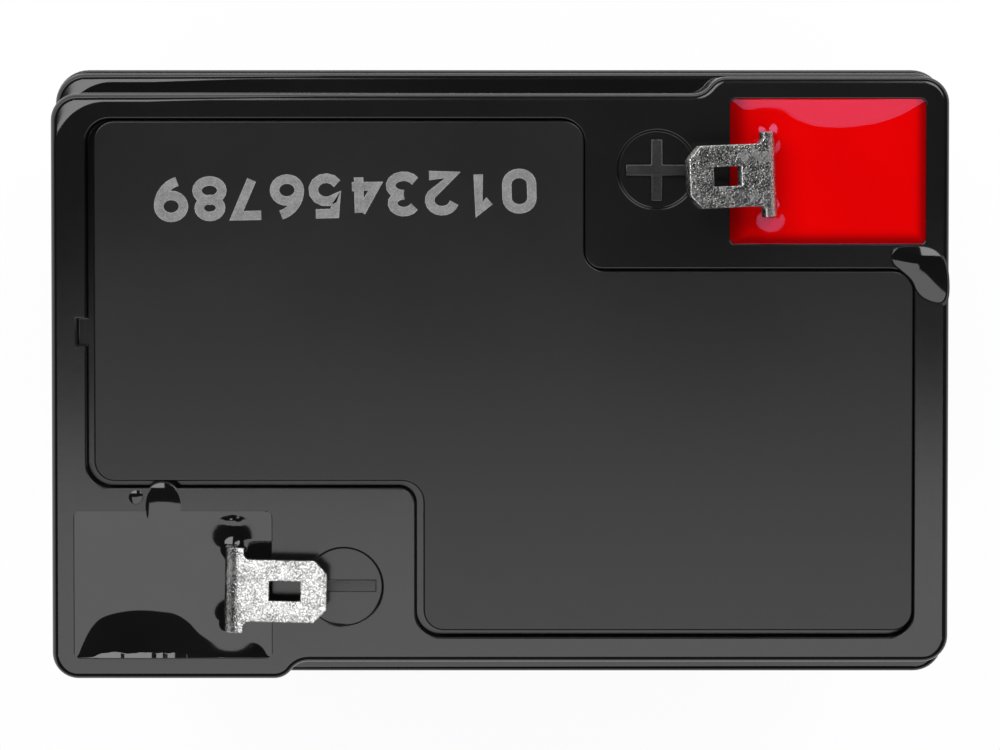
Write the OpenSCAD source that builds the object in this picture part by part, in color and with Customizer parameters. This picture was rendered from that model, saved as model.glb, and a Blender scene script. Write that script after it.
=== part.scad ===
// Small sealed lead acid block: three cells in a moulded container, closed by a glued lid
// with a Z-shaped vent cover and two resin-potted push-on tabs.
// Base on the XY plane, +Z up, long side along X. The positive tab is at +X +Y.

/* [Block] */
// Length of the block over the container's rim
case_l = 70; // [66:0.5:76]
// Width of the block over the container's rim
case_w = 47.4; // [45:0.2:52]
// Height of the block to the top of the lid, without the tabs
case_h = 101; // [92:0.5:112]

/* [Container] */
// Thickness of the side walls
wall_t = 2; // [1.6:0.1:2.4]
// Thickness of the floor
floor_t = 2.2; // [1.6:0.1:3]
// Thickness of the two partitions between the cells
partition_t = 1.5; // [1.2:0.1:1.8]
// How far the rim stands proud of the walls below it
rim_step = 0.5; // [0.3:0.05:0.7]
// Height of the rim
rim_h = 4; // [3:0.25:6]
// Radius of the rim's corners, seen from above
rim_r = 2.6; // [2:0.1:3.4]
// Rounding of the rim's upper edge
rim_round = 0.5; // [0.3:0.05:0.9]
// Rounding of the edge round the base
base_round = 1.2; // [0.8:0.1:1.6]
// Radius of the corners inside the cells
cell_r = 0.8; // [0.4:0.1:1.2]
// Height of the tongue on the walls that enters the lid's groove
tongue_h = 2.2; // [1.6:0.1:2.3]
// Thickness of the tongue round the outside
tongue_t = 1.5; // [1.2:0.1:1.8]
// Inset of the shallow panel under the base
base_panel_inset = 4; // [3:0.25:7]
// Depth of the shallow panel under the base
base_panel_d = 0.5; // [0.3:0.05:0.8]
// Radius of the moulding gate's dimple under each cell
gate_r = 2.5; // [1.5:0.1:4]

/* [Lid] */
// How far the lid's flange is set in from the rim
flange_step = 0.3; // [0.2:0.05:0.5]
// Height of the lid's flange
flange_h = 4; // [3:0.25:5]
// How far the lid's upper body is set in from its flange
body_step = 0.3; // [0.2:0.05:0.5]
// Rounding of the lid's upper edges
lid_round = 0.55; // [0.35:0.05:0.75]
// Depth of the waist cut into each long side
waist_d = 1.3; // [0.9:0.05:1.6]
// Distance from a terminal well's edge back to the start of that S curve
waist_back = 2.85; // [2:0.05:5]
// Thickness of the deck over the cells
deck_t = 1.9; // [1.5:0.1:2.4]
// Depth of the groove that takes the container's tongue
groove_d = 2.5; // [2.4:0.1:3]
// Clearance of the tongue in the groove, each side
groove_gap = 0.15; // [0.08:0.01:0.25]
// Thickness of the ribs beside the groove
groove_rib = 1.1; // [0.8:0.1:1.5]
// Radius of the hollow under each polarity sign
sign_r = 3; // [2.4:0.1:3.4]
// Depth of that hollow
sign_d = 0.35; // [0.2:0.05:0.6]
// Distance from a terminal well's edge back to the sign's middle
sign_back = 5.6; // [5:0.1:7]
// How far the sign lies off the well's middle, across the block
sign_off = 0.15; // [-1:0.05:1]

/* [Vent cover] */
// Thickness of the cover
cover_t = 1.8; // [1.4:0.1:2.2]
// How far the cover lies below the lid's top
cover_drop = 0.15; // [0.05:0.05:0.4]
// Width of the lid's rim beyond the recess's short edges
recess_rim_x = 2.65; // [2:0.05:4]
// Width of the lid's rim beyond the recess's long edges
recess_rim_y = 3.2; // [2.6:0.1:4]
// Distance from a sign's hollow to the recess
sign_clear = 2.5; // [1:0.1:4]
// Clearance between a cap and the wall of the basin that it stands in
cap_room = 1.75; // [0.5:0.05:2.2]
// Radius of the recess's outer corners
recess_r = 1.9; // [1.4:0.1:2.4]
// Radius of the recess's two inner corners
recess_inner_r = 1.3; // [0.9:0.1:1.8]
// Clearance round the cover
cover_gap = 0.34; // [0.3:0.01:0.45]
// How far the cover lies off the middle of its recess
cover_shift = [0.28, 0.18]; // [0:0.02:0.28]
// Width of the ledge that carries the cover
ledge_w = 1.5; // [1:0.1:2]
// Length of the gas notch beside the cover
notch_l = 2.2; // [1.4:0.1:3]
// Depth of the gas notch into the lid
notch_d = 0.72; // [0.5:0.05:1]
// Place of the gas notch along the short side
notch_y = 3.5; // [0:0.25:10]

/* [Valves] */
// Outer radius of the vent necks
neck_r = 3.8; // [3.2:0.1:4.4]
// Radius of the bore in the vent necks
neck_bore_r = 2.3; // [1.8:0.1:2.6]
// Height of the vent necks over the deck
neck_h = 5; // [4:0.1:6]
// Thickness of a rubber cap's top
cap_t = 1.4; // [1:0.1:1.8]
// Thickness of a rubber cap's skirt
cap_wall = 1.3; // [1:0.1:1.7]
// Space under a rubber cap's skirt
cap_foot_gap = 0.8; // [0.3:0.1:1.5]
// Rounding of a rubber cap's upper edge
cap_round = 0.6; // [0.3:0.1:0.9]
// Clearance between cap and neck
cap_fit = 0.05; // [0.02:0.01:0.1]
// Clearance between cap and cover, which lets the cap lift
cap_lift = 0.25; // [0.15:0.05:0.5]

/* [Terminal wells] */
// Width of the lid's rim beyond a well's short edge
well_rim_x = 1.8; // [1.4:0.1:2.2]
// Width of the lid's rim beyond a well's long edge
well_rim_y = 1.7; // [1.4:0.1:2.4]
// Width of the wall between a well and the recess
well_wall = 1.9; // [1.5:0.1:3]
// Length of a well
well_l = 15; // [13.5:0.1:15.4]
// Radius of a well's corners
well_r = 0.5; // [0.3:0.1:1]
// Thickness of a well's floor
well_floor_t = 3; // [2.6:0.1:4]
// How far the resin lies below the lid's top
resin_drop = 0.12; // [0.05:0.01:0.5]
// Thickness of the O-ring round a post
seal_t = 1.6; // [1.2:0.1:1.8]
// Clearance of the O-ring in its seat
seal_gap = 0.05; // [0.02:0.01:0.1]

/* [Tabs] */
// Thickness of the tab strip
tab_t = 0.8; // [0.7:0.05:0.9]
// Width of the push-on tab
tab_w = 4.75; // [4:0.05:5.2]
// Length of the push-on tab past its shoulder
tab_l = 6.35; // [5.5:0.05:7]
// Width of the leg and the shoulder
leg_w = 6.5; // [5.8:0.1:7.4]
// Distance from the post's middle to the leg's outer face
leg_at = 4.1; // [3.9:0.1:5]
// Height of the bend over the lid's top
leg_rise = 2.7; // [2:0.1:4]
// Inner radius of the strip's bends
bend_r = 0.5; // [0.3:0.05:0.7]
// Straight length of the shoulder past the bend
shoulder_l = 0.2; // [0.1:0.05:0.8]
// Radius of the fillets between the shoulder and the tab
shoulder_r = 0.45; // [0.2:0.05:0.8]
// Length of the chamfers at the tab's tip
tip_chamfer = 1; // [0.6:0.05:1.4]
// Length of the detent hole along the tab
hole_l = 2.35; // [1.6:0.05:2.6]
// Width of the detent hole
hole_w = 1.5; // [1.2:0.05:1.8]
// Distance from the shoulder to the detent hole
hole_at = 1.95; // [1.6:0.05:2.6]
// Angle at which the positive tab is bent up
positive_tilt = 25; // [0:1:40]
// Angle at which the negative tab is bent up
negative_tilt = 0; // [0:1:40]
// Angle by which the positive strip sits turned on its post, seen from above
positive_turn = 2.2; // [-3:0.1:3]
// Angle by which the negative strip sits turned on its post, seen from above
negative_turn = -1.2; // [-3:0.1:3]
// Length of the foot past the post's middle
foot_l = 4; // [3.4:0.1:5]
// How far the resin stays off the foot's end, in the narrow gap under the bend
toe_gap = 0.3; // [0.2:0.05:0.5]

/* [Plates] */
// Thickness of a positive plate
positive_t = 2.9; // [2.5:0.05:3.1]
// Thickness of a negative plate
negative_t = 1.8; // [1.5:0.05:2]
// Clearance between the plate pack and the cell's walls, along X
pack_gap = 0.1; // [0.05:0.01:0.2]
// Clearance between the plates and the cell's walls, along Y
plate_side_gap = 1; // [0.6:0.1:1.6]
// Clearance between the glass mat and the cell's walls, along Y
mat_side_gap = 0.3; // [0.2:0.05:0.5]
// How far the glass mat stands over the plates
mat_over = 1.5; // [0.8:0.1:2.5]
// Width of a plate's lug
lug_w = 5; // [4:0.1:6]

/* [Straps and posts] */
// Space from the plates' tops to the top of the rim
head_room = 17; // [15.5:0.25:20]
// Space from the plates' tops to the underside of a strap
strap_gap = 5; // [4:0.1:5.5]
// Thickness of a strap
strap_t = 4; // [3.5:0.1:4.5]
// Width of a strap
strap_w = 8.6; // [7.5:0.1:9.4]
// Clearance between a strap and the container's long wall
strap_side_gap = 1.05; // [0.6:0.05:1.4]
// Depth of the strap's sockets round the lugs
lug_socket_d = 3; // [2:0.1:3.2]
// Thickness of the upright beside a partition
upright_t = 2.4; // [1.8:0.1:3]
// Height of the upright over its strap
upright_h = 7; // [6.2:0.1:7.4]
// Radius of the weld through a partition
weld_r = 2.4; // [1.8:0.1:2.8]
// Height of the weld's middle over the strap
weld_z = 3.6; // [3:0.1:4]
// Clearance round the weld and beside the partition
weld_gap = 0.05; // [0.02:0.01:0.1]
// Radius of a terminal post
post_r = 2.3; // [1.9:0.05:2.6]
// Clearance round a post in the lid and in the tab's foot
post_gap = 0.12; // [0.05:0.01:0.25]
// How far a post stands over the tab's foot
post_over = 0.6; // [0.3:0.1:1.2]

/* [Hidden] */
$fn = 64;
CELLS = 3;
POSITIVES = 3;
NEGATIVES = POSITIVES + 1;
EPS = 0.01;

// Levels, from the top down
cover_top_z = case_h - cover_drop;
ledge_z = cover_top_z - cover_t;
cap_top_z = ledge_z - cap_lift;
neck_top_z = cap_top_z - cap_t;
basin_z = neck_top_z - neck_h;
deck_z = basin_z - deck_t;
joint_z = deck_z - groove_d;
flange_z = joint_z + flange_h;
well_z = deck_z + well_floor_t;
resin_z = case_h - resin_drop;

// Half sizes of the outlines
rim_half = [case_l / 2, case_w / 2];
wall_half = rim_half - [rim_step, rim_step];
flange_half = rim_half - [flange_step, flange_step];
lid_half = flange_half - [body_step, body_step];
cavity_half = wall_half - [wall_t, wall_t];
tongue_half = cavity_half + [tongue_t, tongue_t];
flange_r = rim_r - flange_step;
lid_r = flange_r - body_step;
waist_y = lid_half[1] - waist_d;

// Plan of the lid's top: the recess, the wells at its two free corners, and the signs beside them
cap_r = neck_r + cap_fit + cap_wall;
recess_half = lid_half - [recess_rim_x, recess_rim_y];
recess_step_y = cap_r + cap_room + ledge_w;
well_from = [lid_half[0] - well_rim_x - well_l, recess_step_y + well_wall];
well_to = lid_half - [well_rim_x, well_rim_y];
well_at = (well_from + well_to) / 2;
sign_at = [well_from[0] - sign_back, well_at[1] + sign_off];
recess_step = [sign_at[0] - sign_r - sign_clear, recess_step_y];
waist_x = well_from[0] - waist_back;

// The S curve runs twice as far as it steps out. Its two equal arcs meet halfway, so their
// radius, chord and angle keep the proportions of a 3-4-5 triangle
waist_run = 2 * waist_d;
waist_arc_r = 1.25 * waist_d;
waist_arc_angle = asin(0.8);
inner_arc_at = [waist_x, waist_y + waist_arc_r];
outer_arc_at = [waist_x + waist_run, lid_half[1] - waist_arc_r];

// Cells
cell_l = (2 * cavity_half[0] - (CELLS - 1) * partition_t) / CELLS;
cell_pitch = cell_l + partition_t;
function cell_x(cell) = (cell - (CELLS + 1) / 2) * cell_pitch;

// Plate pack: each positive plate lies in a folded mat between two negative plates
pack_l = cell_l - 2 * pack_gap;
mat_t = (pack_l - POSITIVES * positive_t - NEGATIVES * negative_t) / (2 * POSITIVES);
plate_pitch = positive_t + negative_t + 2 * mat_t;
plate_z = floor_t + mat_t;
plate_top_z = joint_z - head_room;
plate_half_w = cavity_half[1] - plate_side_gap;
mat_half_w = cavity_half[1] - mat_side_gap;
strap_z = plate_top_z + strap_gap;
strap_top_z = strap_z + strap_t;
lug_y = cavity_half[1] - strap_side_gap - strap_w / 2;
function positive_x(cell, n) = cell_x(cell) + (n - (POSITIVES + 1) / 2) * plate_pitch;
function negative_x(cell, n) = cell_x(cell) + (n - (NEGATIVES + 1) / 2) * plate_pitch;
// The positive lugs are at +Y in the outer cells and at -Y in the middle one
function positive_side(cell) = cell % 2 == 1 ? 1 : -1;

// Tabs
outer_bend_r = bend_r + tab_t;
bend_z = case_h + leg_rise;
foot_hole_r = post_r + post_gap;
seal_seat_r = post_r + seal_t + 2 * seal_gap;
seal_seat_d = seal_t + 2 * seal_gap;
post_top_z = well_z + tab_t + post_over;

BLACK = "#2b2b2d";
GREY = "#8d9094";

// Outlines

// A rectangle from corner to corner with round corners
module round_box_2d(from, to, r) {
    translate([from[0] + r, from[1]]) square([to[0] - from[0] - 2 * r, to[1] - from[1]]);
    translate([from[0], from[1] + r]) square([to[0] - from[0], to[1] - from[1] - 2 * r]);
    for (x = [from[0] + r, to[0] - r], y = [from[1] + r, to[1] - r]) {
        translate([x, y]) circle(r);
    }
}

module round_rect_2d(half, r) {
    round_box_2d(-half, half, r);
}

// One half of the lid's outline, in strips from the waist's corner to the corner at full width
module lid_half_outline(inset) {
    r = lid_r - inset;
    inner_r = waist_arc_r + inset;
    outer_r = waist_arc_r - inset;
    meet = outer_arc_at + outer_r * [-0.8, 0.6];
    top = lid_half[1] - inset;
    translate([-lid_half[0] + inset, 0]) square([lid_half[0] - inset + inner_arc_at[0], waist_y - inset - r]);
    translate([-lid_half[0] + lid_r, 0]) square([lid_half[0] - lid_r + inner_arc_at[0], waist_y - inset]);
    translate([-lid_half[0] + lid_r, waist_y - lid_r]) circle(r);
    difference() {
        translate([inner_arc_at[0], 0]) square([meet[0] - inner_arc_at[0], meet[1]]);
        translate(inner_arc_at) circle(inner_r);
    }
    translate([meet[0], 0]) square([outer_arc_at[0] - meet[0], outer_arc_at[1]]);
    intersection() {
        translate([meet[0], outer_arc_at[1]]) square([outer_arc_at[0] - meet[0], outer_r]);
        translate(outer_arc_at) circle(outer_r);
    }
    translate([outer_arc_at[0], 0]) square([lid_half[0] - lid_r - outer_arc_at[0], top]);
    translate([outer_arc_at[0], 0]) square([lid_half[0] - inset - outer_arc_at[0], top - r]);
    translate([lid_half[0] - lid_r, lid_half[1] - lid_r]) circle(r);
}

// The lid's whole outline is the same after half a turn
module lid_outline(inset = 0) {
    for (turn = [0, 180]) {
        rotate(turn) lid_half_outline(inset);
    }
}

// The Z shape of the recess, of its basin and of the cover
module z_outline(inset) {
    half = recess_half - [inset, inset];
    step = recess_step - [inset, inset];
    r = max(recess_r - inset, 0.3);
    inner_r = recess_inner_r + inset;
    round_box_2d([-half[0], -step[1]], [half[0], step[1]], r);
    for (turn = [0, 180]) {
        rotate(turn) {
            round_box_2d([-half[0], -step[1]], [step[0], half[1]], r);
            difference() {
                translate(step - [EPS, EPS]) square(inner_r + EPS);
                translate(step + [inner_r, inner_r]) circle(inner_r);
            }
        }
    }
}

module well_2d() {
    round_box_2d(well_from, well_to, well_r);
}

// Round edges: a quarter of a round bar along a straight edge, and along an arc

module quarter_2d(r) {
    intersection() {
        circle(r);
        square(r);
    }
}

// Rounds the edge that runs from one point to the other, with the solid on its left
module edge_along(from, to, r) {
    run = to - from;
    translate(from) rotate(atan2(run[1], run[0])) translate([0, r, -r]) rotate([90, 0, 90])
        linear_extrude(norm(run)) mirror([1, 0]) quarter_2d(r);
}

// Rounds an edge bent outward round a centre inside the solid
module edge_round_out(at, arc_r, start, sweep, r) {
    translate([at[0], at[1], -r]) rotate(start) rotate_extrude(angle = sweep)
        translate([arc_r - r, 0]) quarter_2d(r);
}

// Rounds an edge bent inward round a centre outside the solid
module edge_round_in(at, arc_r, start, sweep, r) {
    translate([at[0], at[1], -r]) rotate(start) rotate_extrude(angle = sweep)
        translate([arc_r + r, 0]) rotate(90) quarter_2d(r);
}

// A round-cornered slab under Z = 0 with its upper edge rounded
module soft_slab(half, corner_r, h, r) {
    translate([0, 0, -h]) linear_extrude(h - r) round_rect_2d(half, corner_r);
    translate([0, 0, -h]) linear_extrude(h) round_rect_2d(half - [r, r], corner_r - r);
    for (turn = [0, 180]) {
        rotate(turn) {
            edge_along([half[0], corner_r - half[1]], [half[0], half[1] - corner_r], r);
            edge_along([half[0] - corner_r, half[1]], [corner_r - half[0], half[1]], r);
            edge_round_out(half - [corner_r, corner_r], corner_r, 0, 90, r);
            edge_round_out([corner_r - half[0], half[1] - corner_r], corner_r, 90, 90, r);
        }
    }
}

// The lid's upper body under Z = 0, with its waists and its rounded upper edge
module waisted_slab(h, r) {
    translate([0, 0, -h]) linear_extrude(h - r) lid_outline();
    translate([0, 0, -h]) linear_extrude(h) lid_outline(r);
    corner_x = lid_half[0] - lid_r;
    for (turn = [0, 180]) {
        rotate(turn) {
            edge_along([lid_half[0], lid_r - waist_y], [lid_half[0], lid_half[1] - lid_r], r);
            edge_round_out([corner_x, lid_half[1] - lid_r], lid_r, 0, 90, r);
            edge_along([corner_x, lid_half[1]], [outer_arc_at[0], lid_half[1]], r);
            edge_round_out(outer_arc_at, waist_arc_r, 90, waist_arc_angle, r);
            edge_round_in(inner_arc_at, waist_arc_r, -90, waist_arc_angle, r);
            edge_along([inner_arc_at[0], waist_y], [-corner_x, waist_y], r);
            edge_round_out([-corner_x, waist_y - lid_r], lid_r, 90, 90, r);
        }
    }
}

// Container

// The openings of the cells, seen from above; grow widens them
module cells_2d(grow = 0) {
    half = [cell_l / 2, cavity_half[1]] + [grow, grow];
    for (cell = [1 : CELLS]) {
        translate([cell_x(cell), 0]) round_rect_2d(half, cell_r);
    }
}

module container() {
    color(BLACK) difference() {
        union() {
            translate([0, 0, joint_z]) soft_slab(rim_half, rim_r, rim_h, rim_round);
            mirror([0, 0, 1]) soft_slab(wall_half, rim_r - rim_step, joint_z - rim_h, base_round);
            translate([0, 0, joint_z - rim_h]) linear_extrude(rim_h + tongue_h)
                round_rect_2d(tongue_half, rim_r - rim_step);
        }
        translate([0, 0, floor_t]) linear_extrude(case_h) cells_2d();
        translate([0, 0, -EPS]) linear_extrude(base_panel_d + EPS)
            round_rect_2d(wall_half - [base_panel_inset, base_panel_inset], rim_r);
        for (cell = [1 : CELLS]) {
            translate([cell_x(cell), 0, 0]) cylinder(r = gate_r, h = 2 * base_panel_d);
        }
        for (cell = [1 : CELLS - 1]) {
            translate([cell_x(cell) + cell_pitch / 2, positive_side(cell) * lug_y, strap_top_z + weld_z])
                rotate([0, 90, 0]) cylinder(r = weld_r + weld_gap, h = 2 * partition_t, center = true);
        }
    }
}

// Lid

// The container's tongue, seen from above, with room round it
module tongue_groove_2d() {
    difference() {
        round_rect_2d(tongue_half + [groove_gap, groove_gap], rim_r - rim_step);
        cells_2d(-groove_gap);
    }
}

module lid_solid() {
    translate([0, 0, case_h]) waisted_slab(case_h - flange_z + EPS, lid_round);
    translate([0, 0, flange_z]) soft_slab(flange_half, flange_r, flange_h, rim_round);
}

module lid() {
    color(BLACK) difference() {
        union() {
            difference() {
                lid_solid();
                translate([0, 0, ledge_z]) linear_extrude(case_h) z_outline(0);
                translate([0, 0, basin_z]) linear_extrude(case_h) z_outline(ledge_w);
            }
            for (cell = [1 : CELLS]) {
                translate([cell_x(cell), 0, deck_z]) cylinder(r = neck_r, h = neck_top_z - deck_z);
            }
        }
        translate([0, 0, joint_z - EPS]) linear_extrude(groove_d + EPS)
            cells_2d(-groove_gap - groove_rib);
        translate([0, 0, joint_z - EPS]) linear_extrude(groove_d + EPS) tongue_groove_2d();
        for (cell = [1 : CELLS]) {
            translate([cell_x(cell), 0, joint_z]) cylinder(r = neck_bore_r, h = case_h);
        }
        gas_notch();
        for (turn = [0, 180]) {
            rotate(turn) {
                terminal_well();
                translate([sign_at[0], sign_at[1], case_h - sign_d]) cylinder(r = sign_r, h = case_h);
            }
        }
    }
}

module gas_notch() {
    translate([-recess_half[0] - notch_d, notch_y - notch_l / 2, ledge_z])
        cube([notch_d + ledge_w, notch_l, case_h]);
}

module terminal_well() {
    translate([0, 0, well_z]) linear_extrude(case_h) well_2d();
    translate([well_at[0], well_at[1], joint_z - EPS]) cylinder(r = foot_hole_r, h = case_h);
    translate([well_at[0], well_at[1], well_z - seal_seat_d])
        cylinder(r = seal_seat_r, h = seal_seat_d + EPS);
}

// Vent cover and valves

module vent_cover() {
    color(BLACK) translate([cover_shift[0], cover_shift[1], ledge_z]) linear_extrude(cover_t)
        z_outline(cover_gap);
}

// Half of a cap's section, from its axis outward
module cap_section_2d() {
    cap_h = neck_h - cap_foot_gap + cap_t;
    difference() {
        union() {
            square([cap_r, cap_h - cap_round]);
            square([cap_r - cap_round, cap_h]);
            translate([cap_r - cap_round, cap_h - cap_round]) circle(cap_round);
        }
        translate([0, -EPS]) square([cap_r - cap_wall, cap_h - cap_t + EPS]);
    }
}

module vent_cap(cell) {
    color("#3a3a3c") translate([cell_x(cell), 0, basin_z + cap_foot_gap]) rotate_extrude() cap_section_2d();
}

// Terminals. Each is drawn with its post's middle on the Z axis and its tab towards +X

// The tab and its shoulder, lying flat, from the bend to the tip
module tab_blank_2d() {
    length = shoulder_l + tab_l;
    translate([0, -leg_w / 2]) square([shoulder_l, leg_w]);
    polygon([
        [0, -tab_w / 2],
        [length - tip_chamfer, -tab_w / 2],
        [length, tip_chamfer - tab_w / 2],
        [length, tab_w / 2 - tip_chamfer],
        [length - tip_chamfer, tab_w / 2],
        [0, tab_w / 2]
    ]);
    for (side = [0, 1]) {
        mirror([0, side]) translate([shoulder_l, tab_w / 2]) difference() {
            translate([-EPS, -EPS]) square(shoulder_r + EPS);
            translate([shoulder_r, shoulder_r]) circle(shoulder_r);
        }
    }
}

// The part of a bend that turns by an angle from the Z axis towards +X
module bend(angle) {
    rotate([90, 0, 0]) translate([0, 0, -leg_w / 2]) rotate(180 - angle)
        rotate_extrude(angle = angle) translate([bend_r, 0]) square([tab_t, leg_w]);
}

// The foot with its post hole, from a height up, and its length past the start of the bend
module strip_foot(from_z, t, past) {
    translate([-foot_l, -leg_w / 2, from_z]) difference() {
        cube([foot_l + leg_at - bend_r + past, leg_w, t]);
        translate([foot_l, leg_w / 2, -EPS]) cylinder(r = foot_hole_r, h = t + 2 * EPS);
    }
}

// What the foot keeps free of resin: its own underside and the narrow gap under the bend
module foot_print() {
    strip_foot(well_z - EPS, tab_t / 2 + EPS, toe_gap);
}

// The folded strip: foot, leg and tab
module tab_strip(tilt) {
    leg_z = well_z + outer_bend_r;
    strip_foot(well_z, tab_t, 0);
    translate([leg_at - bend_r, 0, leg_z]) rotate([0, 180, 0]) bend(90);
    translate([leg_at, -leg_w / 2, leg_z]) cube([tab_t, leg_w, bend_z - leg_z + EPS]);
    translate([leg_at + outer_bend_r, 0, bend_z]) {
        bend(90 - tilt);
        rotate([0, -tilt, 0]) translate([0, 0, bend_r]) difference() {
            translate([-EPS, 0, 0]) linear_extrude(tab_t) tab_blank_2d();
            translate([shoulder_l + hole_at, -hole_w / 2, -EPS])
                cube([hole_l, hole_w, tab_t + 2 * EPS]);
        }
    }
}

// Turn and move what is drawn about a post's middle to its place
module at_positive_post() {
    translate([well_at[0], well_at[1], 0]) rotate(180 + positive_turn) children();
}

module at_negative_post() {
    translate([-well_at[0], -well_at[1], 0]) rotate(negative_turn) children();
}

module positive_terminal() {
    color(GREY) at_positive_post() tab_strip(positive_tilt);
}

module negative_terminal() {
    color(GREY) at_negative_post() tab_strip(negative_tilt);
}

module post() {
    translate([well_at[0], well_at[1], strap_z]) cylinder(r = post_r, h = post_top_z - strap_z);
}

module post_seal() {
    color("#202022") translate([well_at[0], well_at[1], well_z - seal_gap - seal_t / 2])
        rotate_extrude() translate([post_r + seal_gap + seal_t / 2, 0]) circle(seal_t / 2);
}

module resin() {
    translate([0, 0, well_z]) linear_extrude(resin_z - well_z) well_2d();
}

module positive_potting() {
    color("#d80006") difference() {
        resin();
        positive_terminal();
        at_positive_post() foot_print();
        post();
    }
}

module negative_potting() {
    color("#111113") difference() {
        rotate(180) resin();
        negative_terminal();
        at_negative_post() foot_print();
        rotate(180) post();
    }
}

// Plates, mats and straps

module plate(x, side, t) {
    translate([x - t / 2, -plate_half_w, plate_z]) cube([t, 2 * plate_half_w, plate_top_z - plate_z]);
    translate([x - t / 2, side * lug_y - lug_w / 2, plate_top_z - EPS])
        cube([t, lug_w, strap_gap + lug_socket_d + EPS]);
}

module positive_plate(cell, n) {
    color("#5a3a2a") plate(positive_x(cell, n), positive_side(cell), positive_t);
}

module negative_plate(cell, n) {
    color("#7c8086") plate(negative_x(cell, n), -positive_side(cell), negative_t);
}

// A mat folded under a positive plate and up both of its faces
module separator(cell, n) {
    x = positive_x(cell, n);
    outer_t = positive_t + 2 * mat_t;
    color("#f1efe8") difference() {
        translate([x - outer_t / 2, -mat_half_w, floor_t])
            cube([outer_t, 2 * mat_half_w, plate_top_z + mat_over - floor_t]);
        translate([x - positive_t / 2, -case_w, plate_z]) cube([positive_t, 2 * case_w, case_h]);
    }
}

// The bar cast round the lugs of one polarity in one cell
module strap_bar(cell, side) {
    translate([cell_x(cell) - pack_l / 2, side * lug_y - strap_w / 2, strap_z])
        cube([pack_l, strap_w, strap_t]);
}

module lug_sockets(cell, side) {
    from_positive = positive_side(cell) == side;
    count = from_positive ? POSITIVES : NEGATIVES;
    for (n = [1 : count]) {
        x = from_positive ? positive_x(cell, n) : negative_x(cell, n);
        t = from_positive ? positive_t : negative_t;
        translate([x - t / 2, side * lug_y - lug_w / 2, strap_z - EPS])
            cube([t, lug_w, lug_socket_d + EPS]);
    }
}

module positive_end_strap() {
    color(GREY) difference() {
        union() {
            strap_bar(CELLS, 1);
            post();
        }
        lug_sockets(CELLS, 1);
    }
}

module negative_end_strap() {
    color(GREY) difference() {
        union() {
            strap_bar(1, -1);
            rotate(180) post();
        }
        lug_sockets(1, -1);
    }
}

// Two straps joined by a weld through the partition between their cells
module cell_link(cell) {
    side = positive_side(cell);
    partition_x = cell_x(cell) + cell_pitch / 2;
    face_x = partition_t / 2 + weld_gap;
    color(GREY) difference() {
        union() {
            strap_bar(cell, side);
            strap_bar(cell + 1, side);
            for (face = [-face_x - upright_t, face_x]) {
                translate([partition_x + face, side * lug_y - strap_w / 2, strap_z])
                    cube([upright_t, strap_w, strap_t + upright_h]);
            }
            translate([partition_x, side * lug_y, strap_top_z + weld_z]) rotate([0, 90, 0])
                cylinder(r = weld_r, h = 2 * face_x + upright_t, center = true);
        }
        lug_sockets(cell, side);
        lug_sockets(cell + 1, side);
    }
}

container();
lid();
vent_cover();
for (cell = [1 : CELLS]) {
    vent_cap(cell);
}
positive_terminal();
negative_terminal();
positive_potting();
negative_potting();
post_seal();  // positive_post_seal
rotate(180) post_seal();  // negative_post_seal
positive_end_strap();
negative_end_strap();
for (cell = [1 : CELLS - 1]) {
    cell_link(cell);
}
for (cell = [1 : CELLS], n = [1 : POSITIVES]) {
    positive_plate(cell, n);
    separator(cell, n);
}
for (cell = [1 : CELLS], n = [1 : NEGATIVES]) {
    negative_plate(cell, n);
}
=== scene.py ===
"""The looks of a small sealed lead acid battery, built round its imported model.

The block stands on its base with +Z up. Sizes below are in millimetres and are turned into
Blender's metres by the mesh builders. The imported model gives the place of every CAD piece.
"""

import logging
import math
from dataclasses import dataclass
from enum import Enum
from typing import Callable, Protocol, Sequence

import bmesh
import bpy
from mathutils import Matrix, Vector, noise


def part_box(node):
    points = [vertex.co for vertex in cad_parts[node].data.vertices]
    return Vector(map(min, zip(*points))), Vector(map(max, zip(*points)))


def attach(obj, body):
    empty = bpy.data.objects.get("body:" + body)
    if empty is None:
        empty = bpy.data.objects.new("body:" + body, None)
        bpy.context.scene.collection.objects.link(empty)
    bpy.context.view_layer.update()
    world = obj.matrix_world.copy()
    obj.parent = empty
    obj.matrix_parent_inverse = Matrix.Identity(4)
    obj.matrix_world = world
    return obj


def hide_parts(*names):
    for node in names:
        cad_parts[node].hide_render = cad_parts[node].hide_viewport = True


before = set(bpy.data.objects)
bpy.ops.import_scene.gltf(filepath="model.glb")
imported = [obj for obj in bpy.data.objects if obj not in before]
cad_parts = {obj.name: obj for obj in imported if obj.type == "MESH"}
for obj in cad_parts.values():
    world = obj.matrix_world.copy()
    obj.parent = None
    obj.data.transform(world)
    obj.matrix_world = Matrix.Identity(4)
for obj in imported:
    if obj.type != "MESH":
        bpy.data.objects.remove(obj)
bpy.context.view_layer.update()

LOG = logging.getLogger("battery")
MM = 0.001
LID_MIDDLE_PX = (499.2, 378.5)  # the lid's middle in the photo
PX_PER_MM = 13.05  # at the height of the lid's top
BODY = "root"
PAINTED_WALL_SHADE = "painted_wall_shade"  # share of painted shade near a pour's walls, stored at its corners for its finish to read

Point2 = tuple[float, float]
Point3 = tuple[float, float, float]
Colour = tuple[float, float, float]
Faces = list[list[int]]
Rule = Callable[[float, float], float]
Piece = bpy.types.Object
Finish = bpy.types.Material
Socket = bpy.types.NodeSocket
Value = Socket | float | tuple[float, ...]


class Slot(Enum):
    """The record's material slots, one for each kind of added piece."""

    LID = "lid_plastic"
    RED = "red_resin"
    BLACK = "black_resin"


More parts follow.
